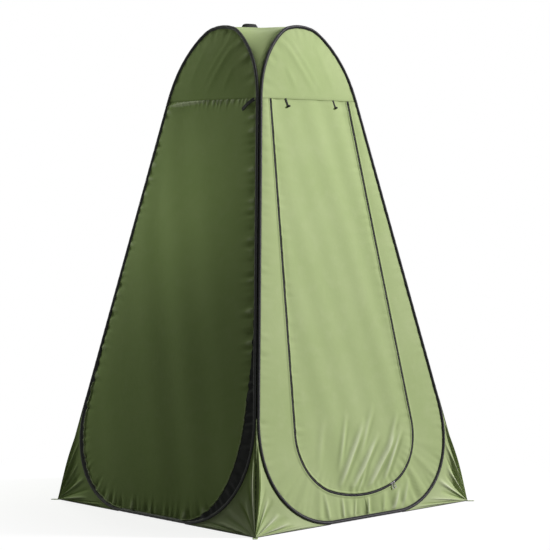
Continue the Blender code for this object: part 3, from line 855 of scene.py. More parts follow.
def sweep(name, path, side, section, finish, body, slot, *nodes):
    """A closed section drawn along a path. The section's first axis lies along side."""
    way = unit(np.gradient(path, axis=0))
    across = unit(side - way * np.sum(way * side, axis=1)[:, None])
    up = np.cross(across, way)
    x, y = section[..., 0], section[..., 1]
    points = path[:, None] + across[:, None] * x[..., None] + up[:, None] * y[..., None]
    mesh = grid_mesh(name, points, across_closed=True, capped=True)
    along = np.repeat(run_along(path)[:, None], points.shape[1], 1)
    store(mesh, "cut", np.broadcast_to(x, along.shape), along)
    piece = piece_of(name, mesh, finish)
    settle(piece, body, slot, *nodes)
    return piece


def round_section(radius, sides=10):
    angles = np.linspace(0, 2 * np.pi, sides, endpoint=False)
    return radius * np.stack([np.cos(angles), np.sin(angles)], 1)


def strap_section(half_widths, thickness):
    """Flat sections with soft edges, one for each half width."""
    angles = np.linspace(0, 2 * np.pi, 20, endpoint=False)
    x = np.sign(np.cos(angles)) * np.abs(np.cos(angles)) ** 0.35
    y = np.sign(np.sin(angles)) * np.abs(np.sin(angles)) ** 0.5 * thickness / 2
    x = np.asarray(half_widths)[:, None] * x
    return np.stack([x, np.broadcast_to(y, x.shape)], -1)


def add_cord(name, path, radius, finish, body):
    """A thin piping sewn along an edge."""
    slanted = np.array([0.31, 0.43, 0.85])  # along no edge of the tent
    sweep(name, path, slanted, round_section(radius), finish, body, "binding")


def cut_size(u, v):
    """The sides of the smallest rectangle, at any slant, that a flat cut fits in."""
    sizes = []
    for angle in np.radians(np.arange(0, 90, 3)):
        across = u * math.cos(angle) + v * math.sin(angle)
        along = v * math.cos(angle) - u * math.sin(angle)
        sizes.append((float(np.ptp(across)), float(np.ptp(along))))
    return min(sizes, key=math.prod)


def add_cloth(name, matrix, layers, finish, held, holder, body, slot, *nodes):
    """One cloth of a wall, drawn over its flat cut.

    Its layers say for each point where it lies on the cut, how far it stands out, the painted
    highlight on a crest and painted shade in a hollow that it gets, how far off and along its sewn edge
    it lies and, beside the zip, how far from that.
    """
    u, v, w, light_and_shade, gap, run, *zip_gap = layers
    mesh = grid_mesh(name, in_world(matrix, np.stack([u, v, w], -1)))
    store(mesh, "cut", u, v, light_and_shade)
    store(mesh, "sewn", gap, run, *(zip_gap or [FAR_FROM_ZIP]))
    piece = piece_of(name, mesh, finish)
    size = cut_size(u, v)
    settle(piece, body, slot, *nodes)
    return piece


def across_shares(columns):
    """Shares from -1 to 1 across a wall, closer together at its edges."""
    share = np.linspace(-1, 1, columns + 1)
    return 0.35 * share + 0.65 * (1.5 * share - 0.5 * share**3)


def belly(u, v, edge, height):
    """How far a cloth that is held at its edges swells between them."""
    low = edge[0, 1]
    high = edge[-1, 1]
    across = np.clip(u / np.interp(v, edge[:, 1], edge[:, 0]), -1, 1)
    up = clamp((v - low) / (high - low))
    return height * (1 - across**2) * 4 * up * (1 - up)


class PlainWall:
    """The swell, gathers and ruffled seam of a wall without a door."""

    def __init__(self, wall):
        self.seed = 40 * WALLS.index(wall)
        self.slack = 1.0 if wall == "left" else -1.0
        self.edge = hoop_line(hoop_curves()[:2], CLOTH_INSET)
        self.sleeve = SewnEdge(closed_hoop(SLEEVE_R))

    def ruffle(self, u, drop, gap):
        """The ruffle under the seam, fullest just right of the middle."""
        wave = 0.25 + 0.75 * uneven_wave(u, self.seed + 5, RUFFLE_LENGTHS)
        grow = 0.35 + 0.65 * clamp((u + RUFFLE_RISE) / RUFFLE_RISE)
        sink = 1 - 0.55 * clamp((u - RUFFLE_FALL[0]) / RUFFLE_FALL[1])
        calm = clamp(gap / RUFFLE_END) * grow * sink
        return RUFFLE * hump(drop, RUFFLE_REACH) * np.clip(wave, -0.1, 1.1) * calm

    def shape(self, u, v):
        """How far the cloth stands out, its painted highlight and shade on crests and hollows, and
        where its sleeve is.
        """
        gap, run = self.sleeve.near(u, v)
        drop = SEAM - v
        folds = ridge(self.slack * u, v, SEAM_FOLD) * clamp(drop / SEAM_FOLD_HELD)
        raised = self.ruffle(u, drop, gap) + folds * (0.75 + 0.25 * self.slack)
        roll = gathers(gap, run, self.seed, GATHER * (1.2 + 0.2 * self.slack))
        # Painted highlight on the ruffle and on the tops of the gathers, painted shade in the gathers'
        # hollows; full on the left wall, which the sun doesn't reach, and weaker on the other walls
        light_and_shade = clamp(raised / RUFFLE_CREST)
        light_and_shade += 0.6 * clamp(roll / GATHER - 0.25) - 0.5 * clamp(-roll / GATHER)
        light_and_shade *= 0.7 + 0.3 * self.slack
        pillow = PILLOW * (1 - np.exp(-np.minimum(gap, drop) / PILLOW_REACH))
        soft = SLACK * uneven_wave(u + 0.35 * v, self.seed + 7, SLACK_LENGTHS)
        swell = belly(u, v, self.edge, WALL_BELLY) + pillow + soft * clamp(gap / SLACK_END)
        return swell + roll + raised, light_and_shade, gap, run


def wall_rows(edge):
    """Points up a wall's edge, closer together under the seam."""
    seam_zone = edge[:, 1] > SEAM - SEAM_ZONE
    low = even(edge[~seam_zone], CLOTH_STEP)
    return np.concatenate([low, even(edge[seam_zone], SEAM_STEP)])


def add_plain_wall(wall, matrix, finishes):
    """The cloth of a wall without a door, and the facings inside its lower bends."""
    form = PlainWall(wall)
    edge = wall_rows(form.edge)
    u = edge[:, :1] * across_shares(WALL_COLUMNS)
    v = np.repeat(edge[:, 1:], u.shape[1], 1)
    w, light_and_shade, gap, run = form.shape(u, v)
    layers = (u, v, w, light_and_shade, *nearer_seam(gap, run, SEAM - v, u))
    name, holder, node = (wall + ending for ending in ("_wall_cloth", "_sleeve_tube", "_wall"))
    add_cloth(name, matrix, layers, finishes["wall"], "stretched", holder, wall, "wall_cloth", node)
    for side in SIDES:
        add_bend_facing(wall, side, matrix, form, finishes)


def add_bend_facing(wall, side, matrix, form, finishes):
    """The black facing sewn over the wall's cloth inside a lower bend of the hoop, and its piping,
    whose pale tone is a painted highlight.
    """
    widest = LEFT_FACING_WIDTHS[side] if wall == "left" else FACING_WIDTH
    line = even(hoop_line(hoop_curves()[:2], SLEEVE_R - FACING_SEAM), FACING_STEP)
    line = line[line[:, 1] < FACING_TOP]
    run = run_along(line)
    inward = left_of(unit(np.gradient(line, axis=0)))
    share = np.linspace(0, 1, len(line))
    width = FACING_EDGE + widest * np.sin(np.pi * share**0.85) ** 2.2
    reach = width[:, None] * np.linspace(0, 1, FACING_COLUMNS)
    u = line[:, :1] + inward[:, :1] * reach
    v = line[:, 1:] + inward[:, 1:] * reach
    if side == "right":
        u, v = u[:, ::-1], v[:, ::-1]
    else:
        u = -u
    runs = np.repeat(run[:, None], FACING_COLUMNS, 1)
    roll = FACING_ROLL * uneven_wave(runs, form.seed + 9, FACING_ROLL_LENGTHS)
    w = form.shape(u, v)[0] + FACING_LIFT + np.abs(roll)
    points = np.stack([u, v, w], -1)
    name = f"{wall}_bend_facing_{side}"
    mesh = grid_mesh(name, in_world(matrix, points))
    store(mesh, "cut", runs, reach)
    piece = piece_of(name, mesh, finishes["facing"])
    settle(piece, wall, "binding")
    rim = points[:, 0] if side == "right" else points[:, -1]
    rim = in_world(matrix, rim[line[:, 1] < PIPING_TOP] + (0, 0, PIPING_LIFT))
    add_cord(f"{wall}_bend_piping_{side}", rim, PIPING_R, finishes["piping"], wall)


def add_yoke(wall, turn, matrix, finishes):
    """The cloth above the seam, turned in behind the cloth below it."""
    edge = even(hoop_line(hoop_curves()[2:], CLOTH_INSET), CLOTH_STEP)
    edge[0, 1] = SEAM
    u = edge[:, :1] * across_shares(YOKE_COLUMNS)
    v = np.repeat(edge[:, 1:], u.shape[1], 1)
    gap, run = SewnEdge(closed_hoop(SLEEVE_R)).near(u, v)
    plain = wall != "front"
    gather = GATHER if plain else FRONT_YOKE_GATHER * GATHER
    roll = gathers(gap, run, YOKE_SEED + 10 * turn, gather)
    w = belly(u, v, edge, 2 * YOKE_BELLY if plain else YOKE_BELLY) + roll
    w += ridges(-u if plain else u, v, YOKE_FOLDS)
    # Painted highlight on the tops of the gathers, on the walls without a door
    light_and_shade = 0.4 * clamp(roll / YOKE_CREST - 0.3) * plain
    layers = (u, v, w, light_and_shade, *nearer_seam(gap, run, v - SEAM, u))
    u, v, w, *others = (np.concatenate([numbers[:1], numbers]) for numbers in layers)
    v[0] -= SEAM_TURN
    w[0] -= SEAM_TURN_BACK
    layers = (u, v, w, *others)
    name, holder, node = (wall + ending for ending in ("_yoke_cloth", "_sleeve_tube", "_yoke"))
    add_cloth(name, matrix, layers, finishes["wall"], "stretched", holder, wall, "wall_cloth", node)


def fan_folds(fan, reach, seed):
    """Crisp folds that spread from a gusset's corner."""
    draw = np.random.default_rng(seed)
    total = np.zeros_like(fan)
    for fold in range(GUSSET_CREASES):
        middle = (fold + 0.5 + draw.uniform(-0.35, 0.35)) / GUSSET_CREASES
        width = draw.uniform(*CREASE_WIDTHS)
        height = draw.uniform(*CREASE_HEIGHTS) * (1 if fold % 2 else -0.6)
        far = draw.uniform(0.7, 1.0)
        fade = np.sin(np.pi * clamp(reach / far)) ** 0.8
        total += height * fade * np.exp(-(((fan - middle) / width) ** 2))
    return total


def add_gussets(wall, turn, matrix, finishes):
    """The cloth drawn into folds from each ground corner to the lower bend of the hoop."""
    bend = hoop_line(hoop_curves()[:1], GUSSET_TUCK - SLEEVE_BACK)
    top = np.array([[corner_u(BEND_TOP) - GAP, BEND_TOP]])
    edge = np.concatenate([bend, top])
    edge = even(edge, run_along(edge)[-1] / GUSSET_COLUMNS)
    tip = np.array([corner_u(HEM) - GAP, HEM])
    reach = np.linspace(1, GUSSET_TIP, GUSSET_ROWS + 1)[:, None]
    right_u = tip[0] + (edge[:, 0] - tip[0]) * reach
    v = tip[1] + (edge[:, 1] - tip[1]) * reach
    fan = np.linspace(0, 1, len(edge)) * np.ones_like(reach)
    from_sleeve = (1 - reach) * np.linalg.norm(edge - tip, axis=1)
    held = clamp(np.minimum(fan, 1 - fan) / GUSSET_HELD) * clamp((v - HEM) / GUSSET_HEM_HELD)
    broad = GUSSET_FOLD * np.sin(GUSSET_FOLDS * np.pi * fan) * np.sin(np.pi * reach) ** 2
    half = GUSSET_COLUMNS // 2
    parts = {"ground": slice(0, half + 1), "edge": slice(half, None)}
    holder = wall + "_sleeve_tube"
    for side, sign in SIDES.items():
        folds = held * fan_folds(fan, reach, GUSSET_SEED + 20 * turn + sign)
        # Paler towards the ground: dust on every gusset, and on the left wall's right gusset, which
        # lies in shade, painted bounce light as well. Painted highlight on the fold crests and painted
        # shade in their hollows.
        dust_and_bounce_light = 0.85 if (wall, side) == ("left", "right") else 0.25
        light_and_shade = np.clip(folds / CREASE_CREST, -1, 1)
        light_and_shade = np.where(light_and_shade > 0, 0.45, 0.9) * light_and_shade + dust_and_bounce_light * clamp(1 - v / DUST_AND_LIGHT_TOP)
        u = sign * right_u
        layers = (u, v, held * broad + folds, light_and_shade, np.minimum(from_sleeve, np.abs(v - HEM)), u + v)
        node = f"{wall}_gusset_{side}"
        for part, columns in parts.items():
            name = f"{wall}_gusset_cloth_{side}_{part}"
            cut = [numbers[::sign, columns] for numbers in layers]
            add_cloth(name, matrix, cut, finishes["wall"], "gathered", holder, wall, "wall_cloth", node)
        hem_u = sign * np.linspace(GROUND_RUN + HEM_OVERLAP, tip[0], HEM_POINTS)
        hem = np.stack([hem_u, np.full(HEM_POINTS, HEM), np.zeros(HEM_POINTS)], 1)
        add_cord(f"{wall}_hem_{side}", in_world(matrix, hem), HEM_R, finishes["binding"], wall)


def add_corner_cords(finishes):
    """Piping over the seam where two gussets meet, from the ground to the hoops."""
    height = np.linspace(CORNER_CORD_FOOT, BEND_TOP * math.cos(LEAN), CORNER_CORD_POINTS)
    out = BASE_HALF - height * math.tan(LEAN) - CORNER_CORD_INSET
    for name, (x, y, body) in CORNERS.items():
        path = np.stack([x * out, y * out, height], 1)
        add_cord("corner_cord_" + name, path, CORNER_CORD_R, finishes["seam_cord"], body)


def add_sleeve(wall, turn, matrix, finishes):
    """The binding tube round the hoop, with the lips that are sewn to the cloth."""
    loop = even(closed_hoop(0), SLEEVE_STEP)[:-1]
    inward = left_of(unit(np.roll(loop, -1, 0) - np.roll(loop, 1, 0)))
    run = run_along(loop)
    angles = np.radians(np.linspace(SLEEVE_OPEN, 360 - SLEEVE_OPEN, 15))
    lip = SLEEVE_R + SLEEVE_LIP
    x = np.concatenate([[lip], SLEEVE_R * np.cos(angles), [lip]])
    y = np.concatenate([[SLEEVE_LIP_HALF], SLEEVE_R * np.sin(angles), [-SLEEVE_LIP_HALF]])
    round_run = run_along(np.stack([x, y], 1))
    wrinkle = uneven_wave(run, SLEEVE_SEED + turn, SLEEVE_WRINKLE_LENGTHS).clip(-1, 1)
    fit = SLEEVE_FIT - SLEEVE_WRINKLE * wrinkle
    fit = fit - SLEEVE_PRESSED * clamp(1 - loop[:, 1] / SLEEVE_PRESSED_TO)
    on_tube = x <= SLEEVE_R
    x, y = (np.where(on_tube, numbers * fit[:, None], numbers) for numbers in (x, y))
    u = loop[:, :1] + inward[:, :1] * x
    v = loop[:, 1:] + inward[:, 1:] * x
    name = wall + "_sleeve_tube"
    mesh = grid_mesh(name, in_world(matrix, np.stack([u, v, y], -1)), along_closed=True)
    mesh.flip_normals()
    store(mesh, "cut", np.repeat(run[:, None], len(round_run), 1), np.tile(round_run, len(loop)))
    piece = piece_of(name, mesh, finishes["binding"])
    settle(piece, wall, "binding", wall + "_sleeve")


def ribbon_lines():
    """Matching outer and inner lines of the front wall's cloth, and the columns in each leg."""
    bend, edge = hoop_curves()[:2]
    outer_low = even(hoop_line((bend,), CLOTH_INSET), FOLD_STEP)
    outer_side = even(hoop_line((edge,), CLOTH_INSET), CLOTH_STEP)
    half = door_half(CHAIN_WIDTH / 2 + GAP)
    low = half[: 2 * CURVE_POINTS]
    paired = low[np.searchsorted(low[:, 0], SWEEP_START) :]
    inner_low = even(paired, run_along(paired)[-1] / (len(outer_low) - 1))
    inner_side = even(half[2 * CURVE_POINTS :], CLOTH_STEP)
    steps = np.linspace(0, 1, len(outer_side))
    shares = np.linspace(0, 1, len(inner_side))
    inner_side = np.stack([np.interp(steps, shares, inner_side[:, axis]) for axis in (0, 1)], 1)
    outer = np.concatenate([outer_low, outer_side[1:]])
    inner = np.concatenate([inner_low, inner_side[1:]])
    count = round(2 * outer[0, 0] / FOLD_STEP)
    share = np.linspace(-1, 1, count + 1)[1:-1]
    outer_bridge = np.stack([share * outer[0, 0], np.full(count - 1, outer[0, 1])], 1)
    across = share * inner[0, 0]
    inner_bridge = np.stack([across, np.interp(np.abs(across), low[:, 0], low[:, 1])], 1)
    outer = np.concatenate([outer[::-1] * (-1, 1), outer_bridge, outer])
    inner = np.concatenate([inner[::-1] * (-1, 1), inner_bridge, inner])
    return outer, inner, len(outer_side) - 1


def welt(gap):
    """The rounded fold of cloth that lies beside the zip."""
    return WELT * clamp(1 - ((gap - WELT_WIDTH / 2) / (WELT_WIDTH / 2)) ** 2)


def add_front_wall(matrix, finishes):
    """The U of cloth between the hoop and the zip."""
    outer, inner, leg = ribbon_lines()
    share = np.linspace(0, 1, RIBBON_ROWS + 1)
    share = (0.5 * share + 0.5 * (3 * share**2 - 2 * share**3))[:, None]
    u = outer[:, 0] + (inner[:, 0] - outer[:, 0]) * share
    v = outer[:, 1] + (inner[:, 1] - outer[:, 1]) * share
    hoop_gap, hoop_run = SewnEdge(closed_hoop(SLEEVE_R)).near(u, v)
    zip_gap, zip_run = SewnEdge(both_sides(door_half(CHAIN_WIDTH / 2 + GAP))).near(u, v)
    held = clamp(zip_gap / FRONT_HELD[0]) * clamp(hoop_gap / FRONT_HELD[1])
    folds = ridges(u, v, FOOT_FOLDS) * held
    slack = FOOT_SLACK * uneven_wave(hoop_run, FRONT_SEED + 10, FOOT_SLACK_LENGTHS)
    w = gathers(hoop_gap, hoop_run, FRONT_SEED, FRONT_GATHER * GATHER) + welt(zip_gap)
    w += held * slack * clamp(1 - v / FOOT_SLACK_TOP) + folds
    # Painted highlight on the tops of the folds and painted shade where the cloth sinks in
    light_and_shade = 0.5 * clamp(folds / FOOT_CREST) - 0.7 * clamp(-w / FOOT_HOLLOW)
    w += FRONT_BELLY * np.sin(np.pi * share) * clamp(v / SEAM)
    gap = np.minimum(np.minimum(hoop_gap, zip_gap), SEAM - v)
    run = np.where(zip_gap < hoop_gap, zip_run, hoop_run)
    far = u.shape[1] - 1 - leg
    parts = {"left": slice(0, leg + 1), "foot": slice(leg, far + 1), "right": slice(far, None)}
    layers = (u, v, w, light_and_shade, gap, run, zip_gap)
    wall = "front"
    name, holder, node = (wall + ending for ending in ("_wall_cloth_", "_sleeve_tube", "_wall"))
    for part, columns in parts.items():
        cut = [numbers[:, columns] for numbers in layers]
        add_cloth(
            name + part, matrix, cut, finishes["wall"], "stretched", holder, wall, "wall_cloth", node
        )


def pleat_heights(matrix):
    """Heights up the slope of the door's pleat lines, from the top down."""
    flat = matrix.inverted()
    return [(flat @ Vector(JOINTS[f"door_pleat_{n}"]["pos_m"])).y for n in range(2, 8)]


def door_rows(lines, edge):
    """Heights of the rows of the door's cloth, close together at its pleats."""
    low = even(edge[edge[:, 1] < lines[-1] - PLEAT_CLEAR_LOW], FOLD_STEP)[1:, 1]
    high = np.arange(lines[-1] - PLEAT_CLEAR, SEAM - SEAM_CLEAR, DOOR_STEP)
    near = np.linspace(-PLEAT_ROWS_HALF, PLEAT_ROWS_HALF, PLEAT_ROWS)
    close = np.concatenate([line + near for line in lines])
    far = [height for height in high if np.abs(np.array(lines) - height).min() > PLEAT_CLEAR]
    return np.unique(np.concatenate([low, close, far, [SEAM - GAP]]))


def add_door(matrix, finishes):
    """The door's cloth, cut at the middle of its sections so that each piece holds one pleat line."""
    edge = door_half(-CHAIN_WIDTH / 2 - CHAIN_SIDE_GAP)
    lines = pleat_heights(matrix)
    cuts = [(above + below) / 2 for above, below in zip(lines, lines[1:])]
    heights = np.unique(np.concatenate([door_rows(lines, edge), cuts]))
    u = np.interp(heights, edge[:, 1], edge[:, 0])[:, None] * across_shares(DOOR_COLUMNS)
    v = np.repeat(heights[:, None], u.shape[1], 1)
    gap, run = SewnEdge(both_sides(edge)).near(u, v)
    held = clamp(gap / DOOR_HELD)
    folds = ridges(u, v, DOOR_FOLDS) * held
    # Painted highlight on each fold, and painted shade beside it, to its right and lower down
    shade = ridges(u - FOLD_SHADE_OFF[0], v + FOLD_SHADE_OFF[1], DOOR_FOLDS) * held
    light_and_shade = 0.42 * clamp(folds / DOOR_CREST) - 0.7 * clamp((shade - folds) / DOOR_SHADE)
    w = welt(gap) + folds
    w += held * DOOR_SLACK * uneven_wave(u + 0.2 * v, DOOR_SEED, DOOR_SLACK_LENGTHS)
    w += gathers(gap, run, DOOR_SEED + 10, DOOR_GATHER)
    layers = (u, v, w, light_and_shade, np.minimum(gap, SEAM - v), run, gap)
    ends = [SEAM, *cuts, 0.0]
    hair = 1e-9  # rows at a cut belong to both pieces
    for n, line in enumerate(lines):
        rows = (heights <= ends[n] + hair) & (heights >= ends[n + 1] - hair)
        cut = [numbers[rows] for numbers in layers]
        name = f"door_cloth_{n + 1}"
        nodes = [f"door_section_{n + 1}"]
        if line == lines[-1]:
            nodes.append(f"door_section_{n + 2}")
        above = f"door_cloth_{n}" if n else "front_yoke_cloth"
        cloth = finishes["wall"]
        piece = add_cloth(name, matrix, cut, cloth, "hung", above, None, "door_cloth", *nodes)
        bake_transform(piece)


def add_roof(finishes):
    """One cloth inside the four hoop tops, level across the middle and falling to the corners."""
    crown = even(hoop_line(hoop_curves()[2:3], 0), CROWN_STEP)
    arc = np.concatenate([crown * (-1, 1), crown[::-1]]) * (1, math.cos(LEAN))
    arc = even(arc, run_along(arc)[-1] / ROOF_CELLS)
    low = arc[0, 1]
    top = HOOP_HEIGHT * math.cos(LEAN)
    reach = BASE_HALF - arc[:, 1] * math.tan(LEAN) - ROOF_INSET
    share = arc[:, 0] / arc[-1, 0]
    fall = (top - arc[:, 1]) / (top - low)
    x = reach[:, None] * share[None, :]
    y = reach[None, :] * share[:, None]
    z = top - (top - low) * fall[:, None] * fall[None, :]
    rim = (1 - np.abs(share[:, None])) * (1 - np.abs(share[None, :]))
    z = z + ROOF_SLACK * uneven_wave(x + y, ROOF_SEED, ROOF_SLACK_LENGTHS) * clamp(rim * 4)
    points = np.stack([x, y, z], -1)
    mesh = grid_mesh("roof_cloth", points)
    store(mesh, "cut", x, y)
    gap = np.minimum(reach[:, None] - np.abs(x), reach[None, :] - np.abs(y)).clip(0)
    store(mesh, "sewn", gap, x + y, np.ones_like(x))
    piece = piece_of("roof_cloth", mesh, finishes["wall"])
    settle(piece, "front", "roof_cloth", "roof")
    press_with_roof(piece)


def press_with_roof(piece):
    """Gives a piece on the roof a mesh of its own."""
    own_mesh(piece)


def add_zip_tape(matrix, finishes):
    """The zip's tape behind the cloth."""
    offsets = np.linspace(-TAPE_WIDTH / 2, TAPE_WIDTH / 2, TAPE_COLUMNS)
    lines = np.stack([both_sides(door_half(offset)) for offset in offsets], 1)
    middle = TAPE_COLUMNS // 2
    moved = np.linalg.norm(np.diff(lines[:, middle], axis=0), axis=1) > 1e-6
    lines = lines[np.concatenate([[True], moved])]
    depth = np.full(lines.shape[:2] + (1,), -SKIN - TAPE_BEHIND)
    mesh = grid_mesh("zip_tape_ribbon", in_world(matrix, np.concatenate([lines, depth], -1)))
    run = run_along(lines[:, middle])
    store(mesh, "cut", np.repeat(run[:, None], TAPE_COLUMNS, 1), np.tile(offsets, len(lines)))
    tape = piece_of("zip_tape_ribbon", mesh, finishes["zip_tape"])
    settle(tape, "front", "zip_tape", "zip_tape")


def add_zip_teeth(matrix, finishes):
    """The zip's teeth, set to one side and the other by turns."""
    line = even(both_sides(door_half(0)), TOOTH_PITCH)
    way = unit(np.gradient(line, axis=0))
    out = left_of(way) * np.where(np.arange(len(line)) % 2, 1, -1)[:, None]
    rings = []
    for size, height in TOOTH_LEVELS:
        for along, across in ((-1, -1), (1, -1), (1, 1), (-1, 1)):
            off = TOOTH_OFF + across * size * TOOTH_HALF_WIDTH
            flat = line + way * along * size * TOOTH_HALF_LENGTH + out * off
            rings.append(np.concatenate([flat, np.full((len(line), 1), height)], 1))
    points = np.stack(rings, 1)
    faces = [(8, 9, 10, 11)]
    for low in (0, 4):
        for k in range(4):
            turned = (k + 1) % 4
            faces.append((low + k, low + turned, low + 4 + turned, low + 4 + k))
    index = np.array(faces)[None] + len(rings) * np.arange(len(line))[:, None, None]
    places = in_world(matrix, points.reshape(-1, 3)).tolist()
    mesh = bpy.data.meshes.new("zip_teeth_row")
    mesh.from_pydata(places, [], index.reshape(-1, 4).tolist())
    face_outwards(mesh)
    teeth = piece_of("zip_teeth_row", mesh, finishes["coil"])
    settle(teeth, "front", "zip_teeth", "zip_chain")


def add_tie(side, matrix, finishes):
    """A short tie that holds the rolled door, looped round its toggle."""
    root = Matrix.Translation((SIDES[side] * TIE_AT, SEAM, SKIN + WEBBING / 2))
    spot = matrix @ root @ Matrix.Rotation(TIE_SLANT, 4, "Z")
    middle = np.array([TOGGLE_R - TIE_LENGTH, WEBBING / 2 + GAP + TOGGLE_R])
    straight = np.stack([np.linspace(TIE_SEWN, middle[0], 12), np.zeros(12)], 1)
    turns = np.radians(np.linspace(-90, -330, 22))[1:]
    wrap = middle + middle[1] * np.stack([np.cos(turns), np.sin(turns)], 1)
    path = np.concatenate([straight, wrap])
    path = np.concatenate([np.zeros((len(path), 1)), path], 1)
    half = np.full(len(path), TIE_WIDTH / 2)
    half[-2:] *= (0.9, 0.7)
    section = strap_section(half, TIE_THICKNESS)
    name, body, node = (start + side for start in ("door_tie_strap_", "tie_", "door_tie_"))
    path = in_world(spot, path)
    sweep(name, path, axis_of(spot, 0), section, finishes["webbing"], body, "webbing", node)

    share = np.linspace(-1, 1, TOGGLE_POINTS)
    grooves = 0.10 * np.exp(-(((np.abs(share) - 0.78) / 0.045) ** 2))
    radius = TOGGLE_R * TOGGLE_FIT * (1 - grooves) * (1 - np.abs(share) ** 14 * 0.35)
    line = np.stack([share * TOGGLE_SHOWN / 2, *np.repeat(middle[:, None], TOGGLE_POINTS, 1)], 1)
    section = radius[:, None, None] * round_section(1.0, 20)
    name, node = (start + side for start in ("tie_toggle_barrel_", "tie_toggle_"))
    line = in_world(spot, line)
    sweep(name, line, axis_of(spot, 2), section, finishes["toggle"], body, "toggle_plastic", node)


def add_corner_strap(matrix, finishes):
    """The webbing strap at the front left corner, which hangs clear of the ruffled seam."""
    v = SEAM - STRAP_DROP
    sleeve = EDGE_INSET / math.cos(EDGE_ANGLE) + SLEEVE_R + GAP
    u = corner_u(v) - sleeve - STRAP_WIDTH / 2 * math.cos(STRAP_SLANT)
    root = Matrix.Translation((u, v, SKIN + STRAP_CLEAR + WEBBING / 2))
    spot = matrix @ root @ Matrix.Rotation(STRAP_SLANT, 4, "Z")
    share = np.linspace(0, 1, STRAP_POINTS)
    rise = STRAP_BOW * np.sin(np.pi * share**0.7) ** 1.2 + STRAP_RISE * share
    along = -STRAP_ROOT - (STRAP_LENGTH - STRAP_SHORT) * share
    path = np.stack([np.zeros(STRAP_POINTS), along, rise], 1)
    half = STRAP_WIDTH / 2 * (0.35 + 0.65 * rounded_end(share, 0.93, 0.075))
    section = strap_section(half, STRAP_THICKNESS)
    name, body, node = "corner_strap_webbing", "strap", "corner_strap"
    path = in_world(spot, path)
    sweep(name, path, axis_of(spot, 0), section, finishes["webbing"], body, "webbing", node)


def add_roof_loop(finishes):
    """The carrying loop on the roof, of doubled webbing, flopped over with its feet sewn down."""
    turns = np.linspace(0.12, np.pi - 0.12, 41)
    along = ROOF_LOOP_LENGTH / 2 * np.cos(turns)
    rise = ROOF_LOOP_RISE * np.sin(turns) ** 0.5
    lean = ROOF_LOOP_LEAN * np.sin(turns) ** 0.4
    foot = ROOF_LOOP_LENGTH / 2 + np.linspace(*ROOF_LOOP_FEET, 6)
    flat = np.zeros_like(foot)
    x = np.concatenate([foot, along, -foot[::-1]])
    y = np.concatenate([flat, -rise * np.sin(lean), flat])
    z = np.concatenate([flat, rise * np.cos(lean), flat])
    lean = np.concatenate([flat, lean, flat])
    top = HOOP_HEIGHT * math.cos(LEAN) + SKIN + ROOF_LOOP_LIFT
    path = np.stack([x, y, z], 1) + (*ROOF_LOOP_AT, top)
    side = np.stack([np.zeros_like(lean), np.cos(lean), np.sin(lean)], 1)
    section = strap_section(np.full(len(path), ROOF_LOOP_WIDTH / 2), ROOF_LOOP_THICKNESS)
    name, body, node = "roof_loop_webbing", "front", "roof_loop"
    loop = sweep(name, path, side, section, finishes["webbing"], body, "webbing", node)
    press_with_roof(loop)


def add_peg_loops(finishes):
    """Flat loops on the ground, from under each corner's cloth outwards, with a stitched eye."""
    half = PEG_LOOP_WIDTH / 2
    middle = PEG_LOOP_LENGTH - PEG_LOOP_UNDER - half
    angles = np.linspace(0, 2 * np.pi, PEG_LOOP_POINTS, endpoint=False)
    to_side = half / np.abs(np.sin(angles)).clip(1e-6)
    to_end = (PEG_LOOP_TUCK + middle) / -np.cos(angles).clip(-1, -1e-6)
    outer = np.where(np.cos(angles) >= 0, half, np.minimum(to_side, to_end))
    inner = PEG_LOOP_EYE / 2
    reach, height = np.array(PEG_LOOP_SECTION).T
    size = inner + (outer[:, None] - inner) * reach
    x = middle + size * np.cos(angles)[:, None]
    y = size * np.sin(angles)[:, None]
    z = np.broadcast_to(height * WEBBING, x.shape)
    for corner, (way_x, way_y, body) in CORNERS.items():
        turn = Matrix.Rotation(math.atan2(way_y, way_x), 4, "Z")
        spot = Matrix.Translation((way_x * BASE_HALF, way_y * BASE_HALF, 0)) @ turn
        name = "peg_loop_webbing_" + corner
        points = in_world(spot, np.stack([x, y, z], -1))
        mesh = grid_mesh(name, points, across_closed=True, along_closed=True)
        store(mesh, "cut", y, x)
        loop = piece_of(name, mesh, finishes["peg_webbing"])
        settle(loop, body, "webbing", "peg_loop_" + corner)


def slider_seat(side, normal):
    """The frame of a zip slider: x along the zip, z outwards, on the cloth's middle."""
    pull = JOINTS["zip_pull_" + side]
    x = -Vector(pull["axis"])
    y = normal.cross(x)
    spot = Matrix((x, y, normal)).transposed().to_4x4()
    spot.translation = Vector(pull["pos_m"]) - BAR_HEIGHT * normal
    return spot


